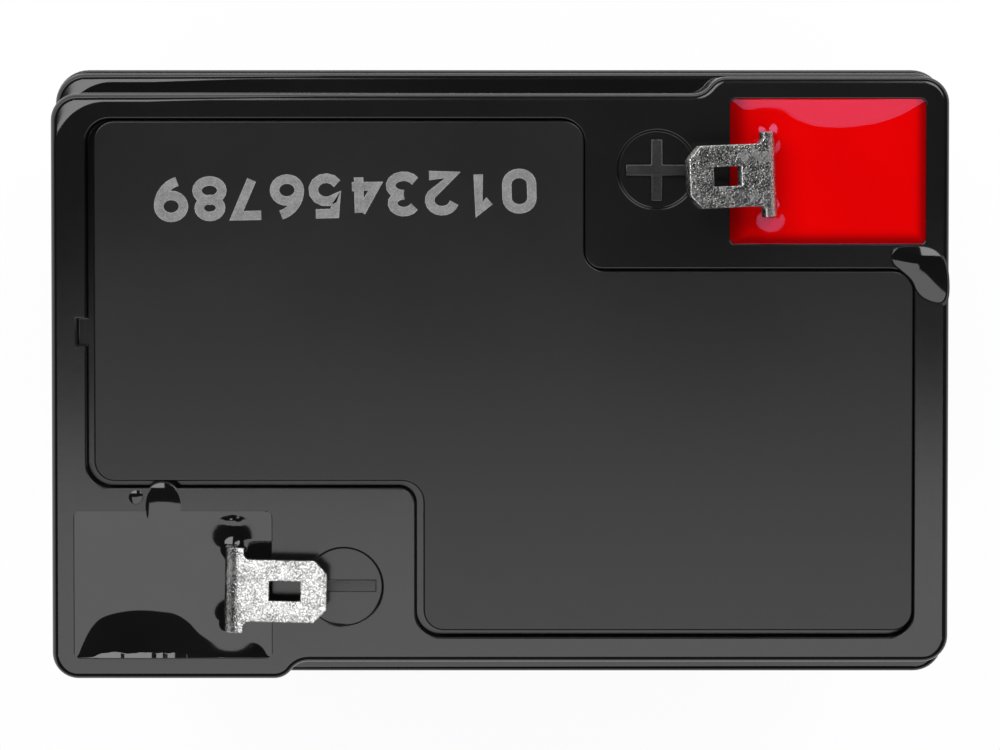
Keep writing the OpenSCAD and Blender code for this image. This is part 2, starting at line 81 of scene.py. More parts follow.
class Digit(Enum):
    """The ten plain digits of the mark."""

    ZERO = 0
    ONE = 1
    TWO = 2
    THREE = 3
    FOUR = 4
    FIVE = 5
    SIX = 6
    SEVEN = 7
    EIGHT = 8
    NINE = 9


# Places and mesh builders


def on_lid(pixel: Point2) -> Point2:
    """Turn a pixel of the photo into a place on the lid's top.

    Args:
        pixel: Column and row in the photo.

    Returns:
        X and Y in millimetres.
    """
    right, down = pixel[0] - LID_MIDDLE_PX[0], pixel[1] - LID_MIDDLE_PX[1]
    return right / PX_PER_MM, -down / PX_PER_MM


def curve_through(points: Sequence[Point2], at: float) -> float:
    """Follow a smooth curve through a few points.

    Args:
        points: Places and values, with rising places.
        at: Where the value is wanted.

    Returns:
        The value there, held level past both ends.
    """
    if at <= points[0][0]:
        return points[0][1]
    if at >= points[-1][0]:
        return points[-1][1]
    i = next(n for n in range(len(points) - 1) if at < points[n + 1][0])
    (x0, y0), (x1, y1) = points[i], points[i + 1]
    before, after = points[max(i - 1, 0)], points[min(i + 2, len(points) - 1)]
    lean0 = (y1 - before[1]) / (x1 - before[0]) * (x1 - x0)
    lean1 = (after[1] - y0) / (after[0] - x0) * (x1 - x0)
    s = (at - x0) / (x1 - x0)
    return (y0 * (2 * s ** 3 - 3 * s ** 2 + 1) + lean0 * (s ** 3 - 2 * s ** 2 + s)
            + y1 * (3 * s ** 2 - 2 * s ** 3) + lean1 * (s ** 3 - s ** 2))


def soft_ramp(run: float, bend: float) -> float:
    """A ramp that starts from level over a short bend.

    Args:
        run: Distance up the ramp, negative before it starts.
        bend: Length over which it bends up.

    Returns:
        The rise of a ramp of slope 1.
    """
    return max(run, 0) + bend * math.log1p(math.exp(-abs(run) / bend))


def switch(past: float, softness: float) -> float:
    """Turn softly from 0 to 1 as a distance passes 0.

    Args:
        past: The distance.
        softness: Length over which it turns.

    Returns:
        A share from 0 to 1.
    """
    furthest = 50
    return 1 / (1 + math.exp(min(-past / softness, furthest)))


def held(value: float) -> float:
    """Hold a value between 0 and 1."""
    return min(max(value, 0), 1)


def unevenness(along: float, lane: Point2) -> float:
    """Read a smooth random pattern that is the same each run.

    Args:
        along: Place along the pattern.
        lane: The two other places in it.

    Returns:
        A value round 0, mostly within 0.5 of it.
    """
    return noise.noise(Vector((along, *lane)))


def tint(piece: Piece, name: str, rule: Rule) -> None:
    """Store a value at each corner of a piece, for its finish to read.

    Args:
        piece: The piece.
        name: Name of the stored value.
        rule: Gives the value from X and Y in millimetres.
    """
    layer = piece.data.attributes.new(name, "FLOAT", "POINT")
    for corner, item in zip(piece.data.vertices, layer.data):
        item.value = rule(corner.co.x / MM, corner.co.y / MM)


def arc(centre: Point2, radii: Point2, start: float, end: float, steps: int = 10) -> list[Point2]:
    """Points along an arc.

    Args:
        centre: Middle of the arc.
        radii: Radius along X and along Y.
        start: First angle in degrees.
        end: Last angle in degrees.
        steps: Number of stretches.

    Returns:
        The points from start to end.
    """
    turn = [math.radians(start + (end - start) * i / steps) for i in range(steps + 1)]
    return [(centre[0] + radii[0] * math.cos(a), centre[1] + radii[1] * math.sin(a)) for a in turn]


def piece_from(name: str, points: Sequence[Point3], faces: Sequence[Sequence[int]]) -> Piece:
    """Make a smooth-shaded mesh object from points in millimetres.

    Args:
        name: Name of the piece.
        points: Corners in millimetres, in the row frame.
        faces: Corner indices of each face.

    Returns:
        The new object, linked to the scene.
    """
    same_place = 1e-7
    mesh = bpy.data.meshes.new(name)
    mesh.from_pydata([(x * MM, y * MM, z * MM) for x, y, z in points], [], faces)
    shape = bmesh.new()
    shape.from_mesh(mesh)
    bmesh.ops.remove_doubles(shape, verts=shape.verts, dist=same_place)
    bmesh.ops.recalc_face_normals(shape, faces=shape.faces)
    shape.to_mesh(mesh)
    shape.free()
    piece = bpy.data.objects.new(name, mesh)
    bpy.context.scene.collection.objects.link(piece)
    shade(piece, smooth=True)
    return piece


def shade(piece: Piece, smooth: bool) -> None:
    """Shade all faces of a piece smooth or flat."""
    for face in piece.data.polygons:
        face.use_smooth = smooth


def loft(name: str, loops: Sequence[Sequence[Point3]]) -> Piece:
    """Join loops of as many points each into a closed skin with both ends filled.

    Args:
        name: Name of the piece.
        loops: Closed loops from one end to the other.

    Returns:
        The new object.
    """
    count = len(loops[0])
    last = (len(loops) - 1) * count
    points = [point for loop in loops for point in loop]
    faces = [list(range(count))[::-1], [last + i for i in range(count)]]
    for low in range(0, last, count):
        high = low + count
        for i in range(count):
            j = (i + 1) % count
            faces.append([low + i, low + j, high + j, high + i])
    return piece_from(name, points, faces)


def inset_outline(outline: Sequence[Point2], inset: float) -> list[Point2]:
    """Move each corner of an outline that runs anticlockwise inward by one distance.

    Args:
        outline: Corners of the outline.
        inset: How far each side moves.

    Returns:
        The corners of the smaller outline.
    """
    sharpest = 0.3
    result = []
    count = len(outline)
    for i in range(count):
        before = Vector(outline[i]) - Vector(outline[i - 1])
        after = Vector(outline[(i + 1) % count]) - Vector(outline[i])
        first = Vector((-before.y, before.x)).normalized()
        second = Vector((-after.y, after.x)).normalized()
        middle = (first + second).normalized()
        reach = inset / max(middle.dot(first), sharpest)
        corner = Vector(outline[i]) + middle * reach
        result.append((corner.x, corner.y))
    return result


def raised_plate(name: str, outline: Sequence[Point2], levels: Point2, edge: float) -> Piece:
    """Make a flat-topped raised shape with a rounded upper edge.

    Args:
        name: Name of the piece.
        outline: Its outline, anticlockwise.
        levels: Heights of its foot and its top.
        edge: Radius of its upper edge.

    Returns:
        The new object.
    """
    low, high = levels
    steps = 4
    loops = [[(x, y, low) for x, y in outline]]
    for step in range(steps + 1):
        angle = math.radians(90 * step / steps)
        inner = inset_outline(outline, edge * (1 - math.cos(angle)))
        loops.append([(x, y, high - edge + edge * math.sin(angle)) for x, y in inner])
    plate = loft(name, loops)
    even_shading(plate)
    return plate


def dome(name: str, outline: Sequence[Point2], levels: Point2, lean: float) -> Piece:
    """Make a drop of resin: a closed even mound over an outline.

    Args:
        name: Name of the piece.
        outline: Its outline, anticlockwise, seen as a star from its middle.
        levels: Heights of its foot and its crown.
        lean: How far its crown lies towards +Y from the middle.

    Returns:
        The new object.
    """
    low, high = levels
    rings = 9
    middle_x = sum(x for x, _ in outline) / len(outline)
    middle_y = sum(y for _, y in outline) / len(outline)
    loops = []
    for ring in range(rings):
        share = 1 - ring / (rings - 0.5)
        level = low + (high - low) * (1 - share ** 2)
        middle = middle_y + lean * (1 - share)
        loops.append([(middle_x + (x - middle_x) * share, middle + (y - middle_y) * share, level)
                      for x, y in outline])
    return loft(name, loops)


def smooth_outline(corners: Sequence[Point2], rounds: int = 3) -> list[Point2]:
    """Round an outline by cutting its corners again and again.

    Args:
        corners: A few corners of the outline.
        rounds: How often the corners are cut.

    Returns:
        The rounded outline.
    """
    share = 0.25
    points = [Vector(corner) for corner in corners]
    for _ in range(rounds):
        cut = []
        for i, point in enumerate(points):
            following = points[(i + 1) % len(points)]
            cut += [point.lerp(following, share), point.lerp(following, 1 - share)]
        points = cut
    return [(point.x, point.y) for point in points]


def dress(piece: Piece, finish: Finish) -> None:
    """Give a piece one finish all over."""
    piece.data.materials.clear()
    piece.data.materials.append(finish)


def settle(piece: Piece, finish: Finish, slot: Slot, *nodes: str) -> Piece:
    """Give a piece its finish and its body, and hide the CAD nodes that it stands for.

    Args:
        piece: The new piece.
        finish: Its material.
        slot: The record's slot that it belongs to; not used.
        nodes: CAD nodes that it replaces.

    Returns:
        The same piece.
    """
    dress(piece, finish)
    if nodes:
        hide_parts(*nodes)
    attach(piece, BODY)
    return piece


def dress_node(node: str, finish: Finish, edge: float = 0) -> Piece:
    """Give a CAD node its finish, small rounded edges and even shading over its own mesh.

    Args:
        node: Name of the CAD node.
        finish: Its material.
        edge: Radius of the small edges in millimetres, or 0 for none.

    Returns:
        The node's object.
    """
    same_place, flat_turn, sharp_turn = 1e-6, 0.3, 50
    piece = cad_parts[node]
    dress(piece, finish)
    for name in ("custom_normal", "sharp_edge", "sharp_face"):
        layer = piece.data.attributes.get(name)
        if layer is not None:
            piece.data.attributes.remove(layer)
    shade(piece, smooth=True)
    weld = piece.modifiers.new("weld", "WELD")
    weld.merge_threshold = same_place
    flats = piece.modifiers.new("whole_flats", "DECIMATE")
    flats.decimate_type = "DISSOLVE"
    flats.angle_limit = math.radians(flat_turn)
    if edge > 0:
        bevel = piece.modifiers.new("small_edges", "BEVEL")
        bevel.width = edge * MM
        bevel.segments = 3
        bevel.limit_method = "ANGLE"
        bevel.angle_limit = math.radians(sharp_turn)
        bevel.use_clamp_overlap = False
        bevel.harden_normals = False
    even_shading(piece)
    return piece


def even_shading(piece: Piece) -> None:
    """Let the large faces of a piece decide its shading, so that flats look flat.

    Args:
        piece: The piece.
    """
    even = piece.modifiers.new("even_shading", "WEIGHTED_NORMAL")
    even.mode = "FACE_AREA"
    even.weight = 90
    even.keep_sharp = False


# Wiring of the finishes and the light


class Wiring:
    """A node tree, with short calls for the nodes that the finishes and the studio share."""

    def __init__(self, tree: bpy.types.NodeTree) -> None:
        """Take the tree to wire."""
        self.tree = tree

    def feed(self, value: Value, target: Socket) -> None:
        """Link a socket to an input, or set that input to a plain value.

        Args:
            value: The socket or the plain value.
            target: The input.
        """
        if isinstance(value, bpy.types.NodeSocket):
            self.tree.links.new(value, target)
        else:
            target.default_value = value

    def node(self, kind: str, **inputs: Value) -> bpy.types.Node:
        """Add a node.

        Args:
            kind: Its type, without the word ShaderNode.
            inputs: Its inputs by name, with _ for a space.

        Returns:
            The new node.
        """
        node = self.tree.nodes.new(f"ShaderNode{kind}")
        for name, value in inputs.items():
            self.feed(value, node.inputs[name.replace("_", " ")])
        return node

    def axes(self, vector: Socket) -> tuple[Socket, ...]:
        """Split a vector into its X, Y and Z."""
        return tuple(self.node("SeparateXYZ", Vector=vector).outputs)

    def ramp(self, source: Socket, span: Point2, result: Point2 = (0, 1)) -> Socket:
        """Map a value from one range to another, and hold it there.

        Args:
            source: The value.
            span: The two values between which it is mapped.
            result: What it becomes at each of them.

        Returns:
            The mapped value.
        """
        node = self.node("MapRange", Value=source, From_Min=span[0], From_Max=span[1],
                         To_Min=result[0], To_Max=result[1])
        return node.outputs["Result"]

    def math(self, operation: str, *values: Socket | float) -> Socket:
        """Work out a sum.

        Args:
            operation: The node's operation.
            values: Its inputs, each a socket or a number.

        Returns:
            The result.
        """
        node = self.node("Math")
        node.operation = operation
        for value, target in zip(values, node.inputs):
            self.feed(value, target)
        return node.outputs[0]

    def not_negative(self, value: Socket) -> Socket:
        """Hold a value at 0 where it would be negative."""
        return self.math("MAXIMUM", value, 0.0)

    def length(self, first: Socket, second: Socket) -> Socket:
        """Length of the slant over two legs at a right angle.

        Args:
            first: One leg.
            second: The other leg.

        Returns:
            The length.
        """
        squares = (self.math("POWER", leg, 2.0) for leg in (first, second))
        return self.math("SQRT", self.math("ADD", *squares))

    def mix(self, factor: Socket, first: Value, second: Value, kind: str = "FLOAT") -> Socket:
        """Blend two numbers or two colours.

        Args:
            factor: 0 for the first and 1 for the second.
            first: The first value.
            second: The second value.
            kind: FLOAT for numbers and RGBA for colours.

        Returns:
            The blended value.
        """
        node = self.node("Mix")
        node.data_type = kind
        for name, value in (("Factor", factor), ("A", first), ("B", second)):
            self.feed(value, node.inputs[name])
        return node.outputs["Result"]


@dataclass(frozen=True)
class Waves:
    """A noise pattern of some waves in a metre, with octaves of finer noise over them."""

    scale: float
    octaves: float = 2
    rough: float = 0.5


@dataclass(frozen=True)
class CornerRoll:
    """The soft fall of the lid and its flange towards their back left corner, in millimetres.

    Attributes:
        levels: Heights between which the fall passes from the flange to the lid's top.
        lower: X and Y that the fall is measured from on the flange.
        upper: X and Y that it is measured from on the lid's top.
        start: Distance at which it begins.
        bend: Length over which it bends down.
        slope: How steep it becomes.
        ends: X from which its back edge draws away, and X where it has done so.
        fade: How far the back edge draws away between them.
        stop: Length past them over which the fall ends.
    """

    levels: Point2 = (97.0, 99.5)
    lower: Point2 = (-30.3, 18.95)
    upper: Point2 = (-30.2, 17.4)
    start: float = 3.75
    bend: float = 0.3
    slope: float = 0.36
    ends: Point2 = (-27.0, -14.0)
    fade: float = 0.45
    stop: float = 5.0


class Board(Wiring):
    """A material's node board, with short calls for the patterns that the finishes share."""

    def __init__(self, name: str) -> None:
        """Start a material.

        Args:
            name: Name of the material.
        """
        self.material = bpy.data.materials.new(name)
        self.material.use_nodes = True
        super().__init__(self.material.node_tree)
        self.shader = next(node for node in self.tree.nodes if node.type == "BSDF_PRINCIPLED")
        self.place = self.node("TexCoord").outputs["Object"]

    def put(self, **values: Value) -> None:
        """Set or link the shader's own inputs by name, with _ for a space."""
        for name, value in values.items():
            self.feed(value, self.shader.inputs[name.replace("_", " ")])

    def noise(self, waves: Waves) -> Socket:
        """Add a noise pattern.

        Args:
            waves: How coarse and how rough it is.

        Returns:
            Its value, about 0 to 1.
        """
        node = self.node("TexNoise", Vector=self.place, Scale=waves.scale, Detail=waves.octaves,
                         Roughness=waves.rough)
        return node.outputs["Fac"]

    def cells(self, scale: float) -> Socket:
        """Add a pattern of rounded cells: the distance to the nearest of so many in a metre."""
        return self.node("TexVoronoi", Vector=self.place, Scale=scale).outputs["Distance"]

    def stored(self, name: str) -> Socket:
        """Read a value stored at the corners of the mesh.

        Args:
            name: Name of the stored value.

        Returns:
            Its socket.
        """
        node = self.node("Attribute")
        node.attribute_name = name
        return node.outputs["Fac"]

    def blend(self, factor: Socket, first: Socket | Colour, second: Colour) -> Socket:
        """Blend a colour towards another.

        Args:
            factor: 0 for the first colour and 1 for the second.
            first: The first colour, plain or a socket.
            second: The second colour, plain.

        Returns:
            The blended colour.
        """
        start = first if isinstance(first, bpy.types.NodeSocket) else (*first, 1)
        return self.mix(factor, start, (*second, 1), "RGBA")

    def add(self, first: Socket, second: Socket, share: float) -> Socket:
        """Add a share of one value to another.

        Args:
            first: The value that is kept whole.
            second: The value that is added in part.
            share: How much of it is added.

        Returns:
            The sum.
        """
        return self.math("MULTIPLY_ADD", second, share, first)

    def bump(self, height: Socket, depth: float) -> None:
        """Press a height pattern into the surface.

        Args:
            height: The pattern, about 0 to 1.
            depth: Its depth in millimetres.
        """
        node = self.node("Bump", Strength=1, Distance=depth * MM, Height=height)
        self.put(Normal=node.outputs["Normal"])

    def corner_fall(self, roll: CornerRoll) -> Socket:
        """Height of a moulding that falls away gently at its back left corner.

        Args:
            roll: Where and how steeply it falls.

        Returns:
            The height in metres, 0 on the flat.
        """
        x, y, z = self.axes(self.place)
        levels, ends = ((low * MM, high * MM) for low, high in (roll.levels, roll.ends))
        middle_x, middle_y = (
            self.ramp(z, levels, (lower * MM, upper * MM))
            for lower, upper in zip(roll.lower, roll.upper))
        left = self.not_negative(self.math("SUBTRACT", middle_x, x))
        drawn = self.ramp(x, ends, (0, roll.fade * MM))
        stopped = self.ramp(x, (ends[1], (roll.ends[1] + roll.stop) * MM), (0, roll.stop * MM))
        edge = self.math("ADD", drawn, stopped)
        behind = self.math("SUBTRACT", self.math("SUBTRACT", y, middle_y), edge)
        away = self.length(left, self.not_negative(behind))
        past = self.not_negative(self.math("SUBTRACT", away, roll.start * MM))
        bent = self.math("ADD", past, roll.bend * MM)
        bent = self.math("DIVIDE", self.math("POWER", past, 2.0), bent)
        return self.math("MULTIPLY", bent, -roll.slope)

    def roll_corner(self, roll: CornerRoll) -> None:
        """Let the level faces fall away at the corner, over the bump that is there already.

        Args:
            roll: Where and how steeply they fall.
        """
        level_span = (0.3, 0.7)
        before = self.shader.inputs["Normal"].links[0].from_socket
        facing = self.axes(self.node("NewGeometry").outputs["Normal"])[2]
        fall = self.node("Bump", Distance=1, Strength=self.ramp(facing, level_span),
                         Height=self.corner_fall(roll), Normal=before)
        self.put(Normal=fall.outputs["Normal"])


# Finishes


@dataclass(frozen=True)
class MouldedPlastic:
    """Black moulded plastic with a fine grain, handling marks and an uneven gloss."""

    name: str
    colour: Colour
    paler: Colour
    gloss: Point2
    ior: float
    grain: float
    grain_depth: float
    roll: CornerRoll | None = None
    marks: Waves = Waves(45)
    mark_span: Point2 = (0.35, 0.7)
    flecks: Waves = Waves(900, 4, 0.6)
    fleck_share: float = 0.5
    gloss_span: Point2 = (0.45, 1.0)
    grain_octaves: float = 3
    grain_rough: float = 0.55

    def material(self) -> Finish:
        """Build the material.

        Returns:
            The new material.
        """
        board = Board(self.name)
        marks = board.noise(self.marks)
        shown = board.ramp(marks, self.mark_span)
        flecked = board.add(marks, board.noise(self.flecks), self.fleck_share)
        board.put(Base_Color=board.blend(shown, self.colour, self.paler),
                  Roughness=board.ramp(flecked, self.gloss_span, self.gloss), IOR=self.ior)
        grain = Waves(self.grain, self.grain_octaves, self.grain_rough)
        board.bump(board.noise(grain), self.grain_depth)
        if self.roll:
            board.roll_corner(self.roll)
        return board.material


@dataclass(frozen=True)
class CastResin:
    """Glossy cast epoxy with faint waves in its skin, and painted shade that darkens it along its
    walls.
    """

    name: str
    colour: Colour
    cloudy: Colour
    # colour of the painted shade at the walls
    at_wall: Colour
    gleam: Colour
    ior: float
    roughness: float
    clouds: Waves = Waves(160)
    cloud_span: Point2 = (0.3, 0.75)
    specks: Waves = Waves(2600)
    speck_span: Point2 = (0.6, 0.85)
    speck_roughness: float = 0.04
    skin: Waves = Waves(900)
    skin_depth: float = 0.0006

    def material(self) -> Finish:
        """Build the material.

        Returns:
            The new material.
        """
        board = Board(self.name)
        clouds = board.ramp(board.noise(self.clouds), self.cloud_span)
        body = board.blend(clouds, self.colour, self.cloudy)
        gloss = (self.roughness, self.roughness + self.speck_roughness)
        # painted shade: the colour turns towards at_wall by the share stored near the walls
        board.put(Base_Color=board.blend(board.stored(PAINTED_WALL_SHADE), body, self.at_wall),
                  Roughness=board.ramp(board.noise(self.specks), self.speck_span, gloss),
                  IOR=self.ior, Specular_Tint=(*self.gleam, 1))
        board.bump(board.noise(self.skin), self.skin_depth)
        return board.material


@dataclass(frozen=True)
class TinPlate:
    """Tin over brass strip: bright, speckled by rolling, with darker grime in its pits."""

    name: str
    colour: Colour
    grime: Colour
    pits: Waves = Waves(8500, 2, 0.8)
    patches: Waves = Waves(900, 3, 0.6)
    patch_share: float = 0.35
    grime_span: Point2 = (0.5, 0.86)
    gloss_span: Point2 = (0.3, 0.7)
    gloss: Point2 = (0.2, 0.3)
    dimples: float = 5200
    dimple_share: float = 0.8
    depth: float = 0.03

    def material(self) -> Finish:
        """Build the material.

        Returns:
            The new material.
        """
        board = Board(self.name)
        pits, patches = board.noise(self.pits), board.noise(self.patches)
        clean = board.ramp(board.add(pits, patches, self.patch_share), self.grime_span)
        board.put(Base_Color=board.blend(clean, self.grime, self.colour),
                  Roughness=board.ramp(patches, self.gloss_span, self.gloss), Metallic=1.0)
        board.bump(board.add(pits, board.cells(self.dimples), self.dimple_share), self.depth)
        return board.material


@dataclass(frozen=True)
class Matt:
    """A matt or porous stuff with a mottled colour, for rubber, lead, paste and glass mat."""

    name: str
    colour: Colour
    mottle: Colour
    roughness: float
    metal: float
    grain: float
    grain_depth: float
    mottle_span: Point2 = (0.3, 0.7)
    spot_octaves: float = 4
    spot_rough: float = 0.6
    finer: float = 3

    def material(self) -> Finish:
        """Build the material.

        Returns:
            The new material.
        """
        board = Board(self.name)
        spots = board.noise(Waves(self.grain, self.spot_octaves, self.spot_rough))
        mottled = board.blend(board.ramp(spots, self.mottle_span), self.colour, self.mottle)
        board.put(Base_Color=mottled, Roughness=self.roughness, Metallic=self.metal)
        board.bump(board.noise(Waves(self.grain * self.finer, 3)), self.grain_depth)
        return board.material


@dataclass(frozen=True)
class PaleMark:
    """A pale mark burnt into the plastic, uneven at the scale of a grain."""

    name: str
    ink: Colour
    gap: Colour
    fine: Waves = Waves(7000, 2, 0.7)
    coarse: Waves = Waves(1800)
    coarse_share: float = 0.5
    ink_span: Point2 = (0.55, 0.95)
    skin: Waves = Waves(5000)
    skin_depth: float = 0.01
    roughness: float = 0.65

    def material(self) -> Finish:
        """Build the material.

        Returns:
            The new material.
        """
        board = Board(self.name)
        grain = board.add(board.noise(self.fine), board.noise(self.coarse), self.coarse_share)
        inked = board.blend(board.ramp(grain, self.ink_span), self.gap, self.ink)
        board.put(Base_Color=inked, Roughness=self.roughness)
        board.bump(board.noise(self.skin), self.skin_depth)
        return board.material


class Paints:
    """Every finish of the battery, made once."""

    def __init__(self) -> None:
        """Make the materials."""
        self.case = MouldedPlastic(
            "glossy_black_abs", (0.006, 0.006, 0.0062), (0.008, 0.008, 0.0083),
            gloss=(0.12, 0.2), ior=1.5, grain=1400, grain_depth=0.0012).material()
        self.lid = MouldedPlastic(
            "satin_black_abs", (0.0055, 0.0055, 0.0057), (0.0075, 0.0075, 0.0077),
            gloss=(0.11, 0.15), ior=1.47, grain=2200, grain_depth=0.0008,
            roll=CornerRoll()).material()
        self.cover = MouldedPlastic(
            "fine_grained_black_abs", (0.0068, 0.0068, 0.007), (0.0088, 0.0088, 0.009),
            gloss=(0.19, 0.23), ior=1.4, grain=3600, grain_depth=0.0012).material()
        self.sign = MouldedPlastic(
            "grainy_black_abs", (0.007, 0.007, 0.0072), (0.016, 0.016, 0.0162),
            gloss=(0.16, 0.3), ior=1.47, grain=5200, grain_depth=0.006).material()
        # the red resin's at_wall colour is painted shade along its walls
        self.red = CastResin(
            "red_epoxy", (0.7, 0.0004, 0.0006), (0.64, 0.0004, 0.0006),
            at_wall=(0.2, 0.0002, 0.0003), gleam=(0.2, 0.5, 1.0), ior=1.42,
            roughness=0.04).material()
        self.black = CastResin(
            "black_epoxy", (0.004, 0.004, 0.0045), (0.006, 0.006, 0.0065),
            at_wall=(0.003, 0.003, 0.003), gleam=(1, 1, 1), ior=1.5, roughness=0.05).material()
        self.glue = MouldedPlastic(
            "dried_glue", (0.03, 0.03, 0.03), (0.16, 0.16, 0.16),
            gloss=(0.3, 0.5), ior=1.47, grain=6500, grain_depth=0.05).material()
        self.tin = TinPlate("tin_plate", (0.84, 0.84, 0.83), (0.07, 0.07, 0.07)).material()
        self.mark = PaleMark("pale_grey_mark", (0.26,) * 3, (0.13,) * 3).material()
        self.mark_edge = PaleMark("pale_mark_edge", (0.36,) * 3, (0.2,) * 3).material()
        self.valve = Matt(
            "valve_rubber", (0.03, 0.03, 0.032), (0.045, 0.045, 0.047),
            roughness=0.75, metal=0, grain=500, grain_depth=0.02).material()
        self.seal = Matt(
            "seal_rubber", (0.012, 0.012, 0.012), (0.02, 0.02, 0.02),
            roughness=0.6, metal=0, grain=700, grain_depth=0.01).material()
        self.lead = Matt(
            "cast_lead", (0.36, 0.37, 0.39), (0.24, 0.25, 0.27),
            roughness=0.5, metal=1, grain=350, grain_depth=0.05).material()
        self.brown = Matt(
            "brown_paste", (0.07, 0.035, 0.02), (0.12, 0.065, 0.04),
            roughness=0.9, metal=0, grain=800, grain_depth=0.06).material()
        self.grey = Matt(
            "grey_paste", (0.2, 0.21, 0.23), (0.32, 0.33, 0.35),
            roughness=0.8, metal=0.3, grain=800, grain_depth=0.06).material()
        self.mat = Matt(
            "glass_mat", (0.86, 0.85, 0.81), (0.74, 0.73, 0.7),
            roughness=0.95, metal=0, grain=1500, grain_depth=0.12).material()


# Sub-assemblies


@dataclass
class Shell:
    """The moulded container, lid and vent cover, with the raised signs and the glue line.

    Attributes:
        paints: The finishes.
        case_edge: Radius of the container's small edges.
        lid_edge: Radius of the lid's.
        cover_edge: Radius of the vent cover's.
        sign_at: Middle of the plus sign; the minus sign lies opposite.
        sign_floor: Depth of the hollow round each sign.
        sign_rise: Height of a sign over its hollow.
        sign_sunk: Depth of its foot below the hollow.
        sign_edge: Radius of its upper edge.
        arm: Half the plus sign's width.
        dash: Half the minus sign's width.
        bar: Half the width of their strokes.
        waist: Y of the wall that the glue lies against.
        flange_top: Height of the flange that it lies on.
        glue_ends: X of its two ends.
        glue_steps: Number of stretches along it.
        glue_sunk: How deep it reaches into wall and flange.
        glue_wide: Its width, and how much that wanders.
        glue_tall: Its height, and how much that wanders.
        glue_waves: How fast its width and its height wander.
        glue_shoulder: Where its slope breaks, in shares of its width and height.
    """

    paints: Paints
    case_edge: float = 0.35
    lid_edge: float = 0.12
    cover_edge: float = 0.14
    sign_at: Point2 = (12.0, 15.95)
    sign_floor: float = 0.35
    sign_rise: float = 0.3
    sign_sunk: float = 0.05
    sign_edge: float = 0.1
    arm: float = 2.38
    dash: float = 2.5
    bar: float = 0.45
    waist: float = 21.6
    flange_top: float = 92
    glue_ends: Point2 = (-17.0, 13.2)
    glue_steps: int = 240
    glue_sunk: float = 0.03
    glue_wide: Point2 = (0.26, 0.07)
    glue_tall: Point2 = (0.16, 0.1)
    glue_waves: Point2 = (3, 5)
    glue_shoulder: Point2 = (0.75, 0.8)

    def build(self) -> list[Piece]:
        """Dress the three mouldings and add the signs.

        Returns:
            The pieces.
        """
        mouldings = [
            dress_node("container", self.paints.case, self.case_edge),
            dress_node("lid", self.paints.lid, self.lid_edge),
            dress_node("vent_cover", self.paints.cover, self.cover_edge),
        ]
        return [*mouldings, self.glue_line(), self.plus(), self.minus()]

    def glue_line(self) -> Piece:
        """Make the bead of glue that shows on the flange along the foot of the lid's waist.

        Returns:
            The bead.
        """
        width_lane, height_lane = (4.4, 0.7), (1.4, 3.7)
        start, end = self.glue_ends
        foot, wall = self.flange_top - self.glue_sunk, self.waist - self.glue_sunk
        loops = []
        for step in range(self.glue_steps + 1):
            x = start + (end - start) * step / self.glue_steps
            wander = unevenness(x * self.glue_waves[0], width_lane)
            wide = self.glue_wide[0] + self.glue_wide[1] * wander
            wander = unevenness(x * self.glue_waves[1], height_lane)
            tall = self.glue_tall[0] + self.glue_tall[1] * wander
            shoulder = (self.waist + wide * self.glue_shoulder[0],
                        foot + tall * self.glue_shoulder[1])
            loops.append([(x, wall, foot), (x, self.waist + wide, foot), (x, *shoulder),
                          (x, wall, foot + tall)])
        return settle(loft("glue_bead", loops), self.paints.glue, Slot.LID)

    def levels(self) -> Point2:
        """Heights of a sign's foot and top."""
        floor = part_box("lid")[1].z / MM - self.sign_floor
        return floor - self.sign_sunk, floor + self.sign_rise

    def plus(self) -> Piece:
        """Make the raised plus sign.

        Returns:
            The sign.
        """
        a, b = self.arm, self.bar
        corners = [(b, b), (b, a), (-b, a), (-b, b), (-a, b), (-a, -b),
                   (-b, -b), (-b, -a), (b, -a), (b, -b), (a, -b), (a, b)]
        return self.sign("plus_sign", self.sign_at, corners)

    def minus(self) -> Piece:
        """Make the raised minus sign.

        Returns:
            The sign.
        """
        a, b = self.dash, self.bar
        middle = (-self.sign_at[0], -self.sign_at[1])
        return self.sign("minus_sign", middle, [(a, b), (-a, b), (-a, -b), (a, -b)])

    def sign(self, name: str, middle: Point2, corners: Sequence[Point2]) -> Piece:
        """Make a raised sign.

        Args:
            name: Name of the piece.
            middle: Its middle.
            corners: Its outline, from that middle.

        Returns:
            The sign.
        """
        outline = [(middle[0] + x, middle[1] + y) for x, y in corners]
        plate = raised_plate(name, outline, self.levels(), self.sign_edge)
        return settle(plate, self.paints.sign, Slot.LID)


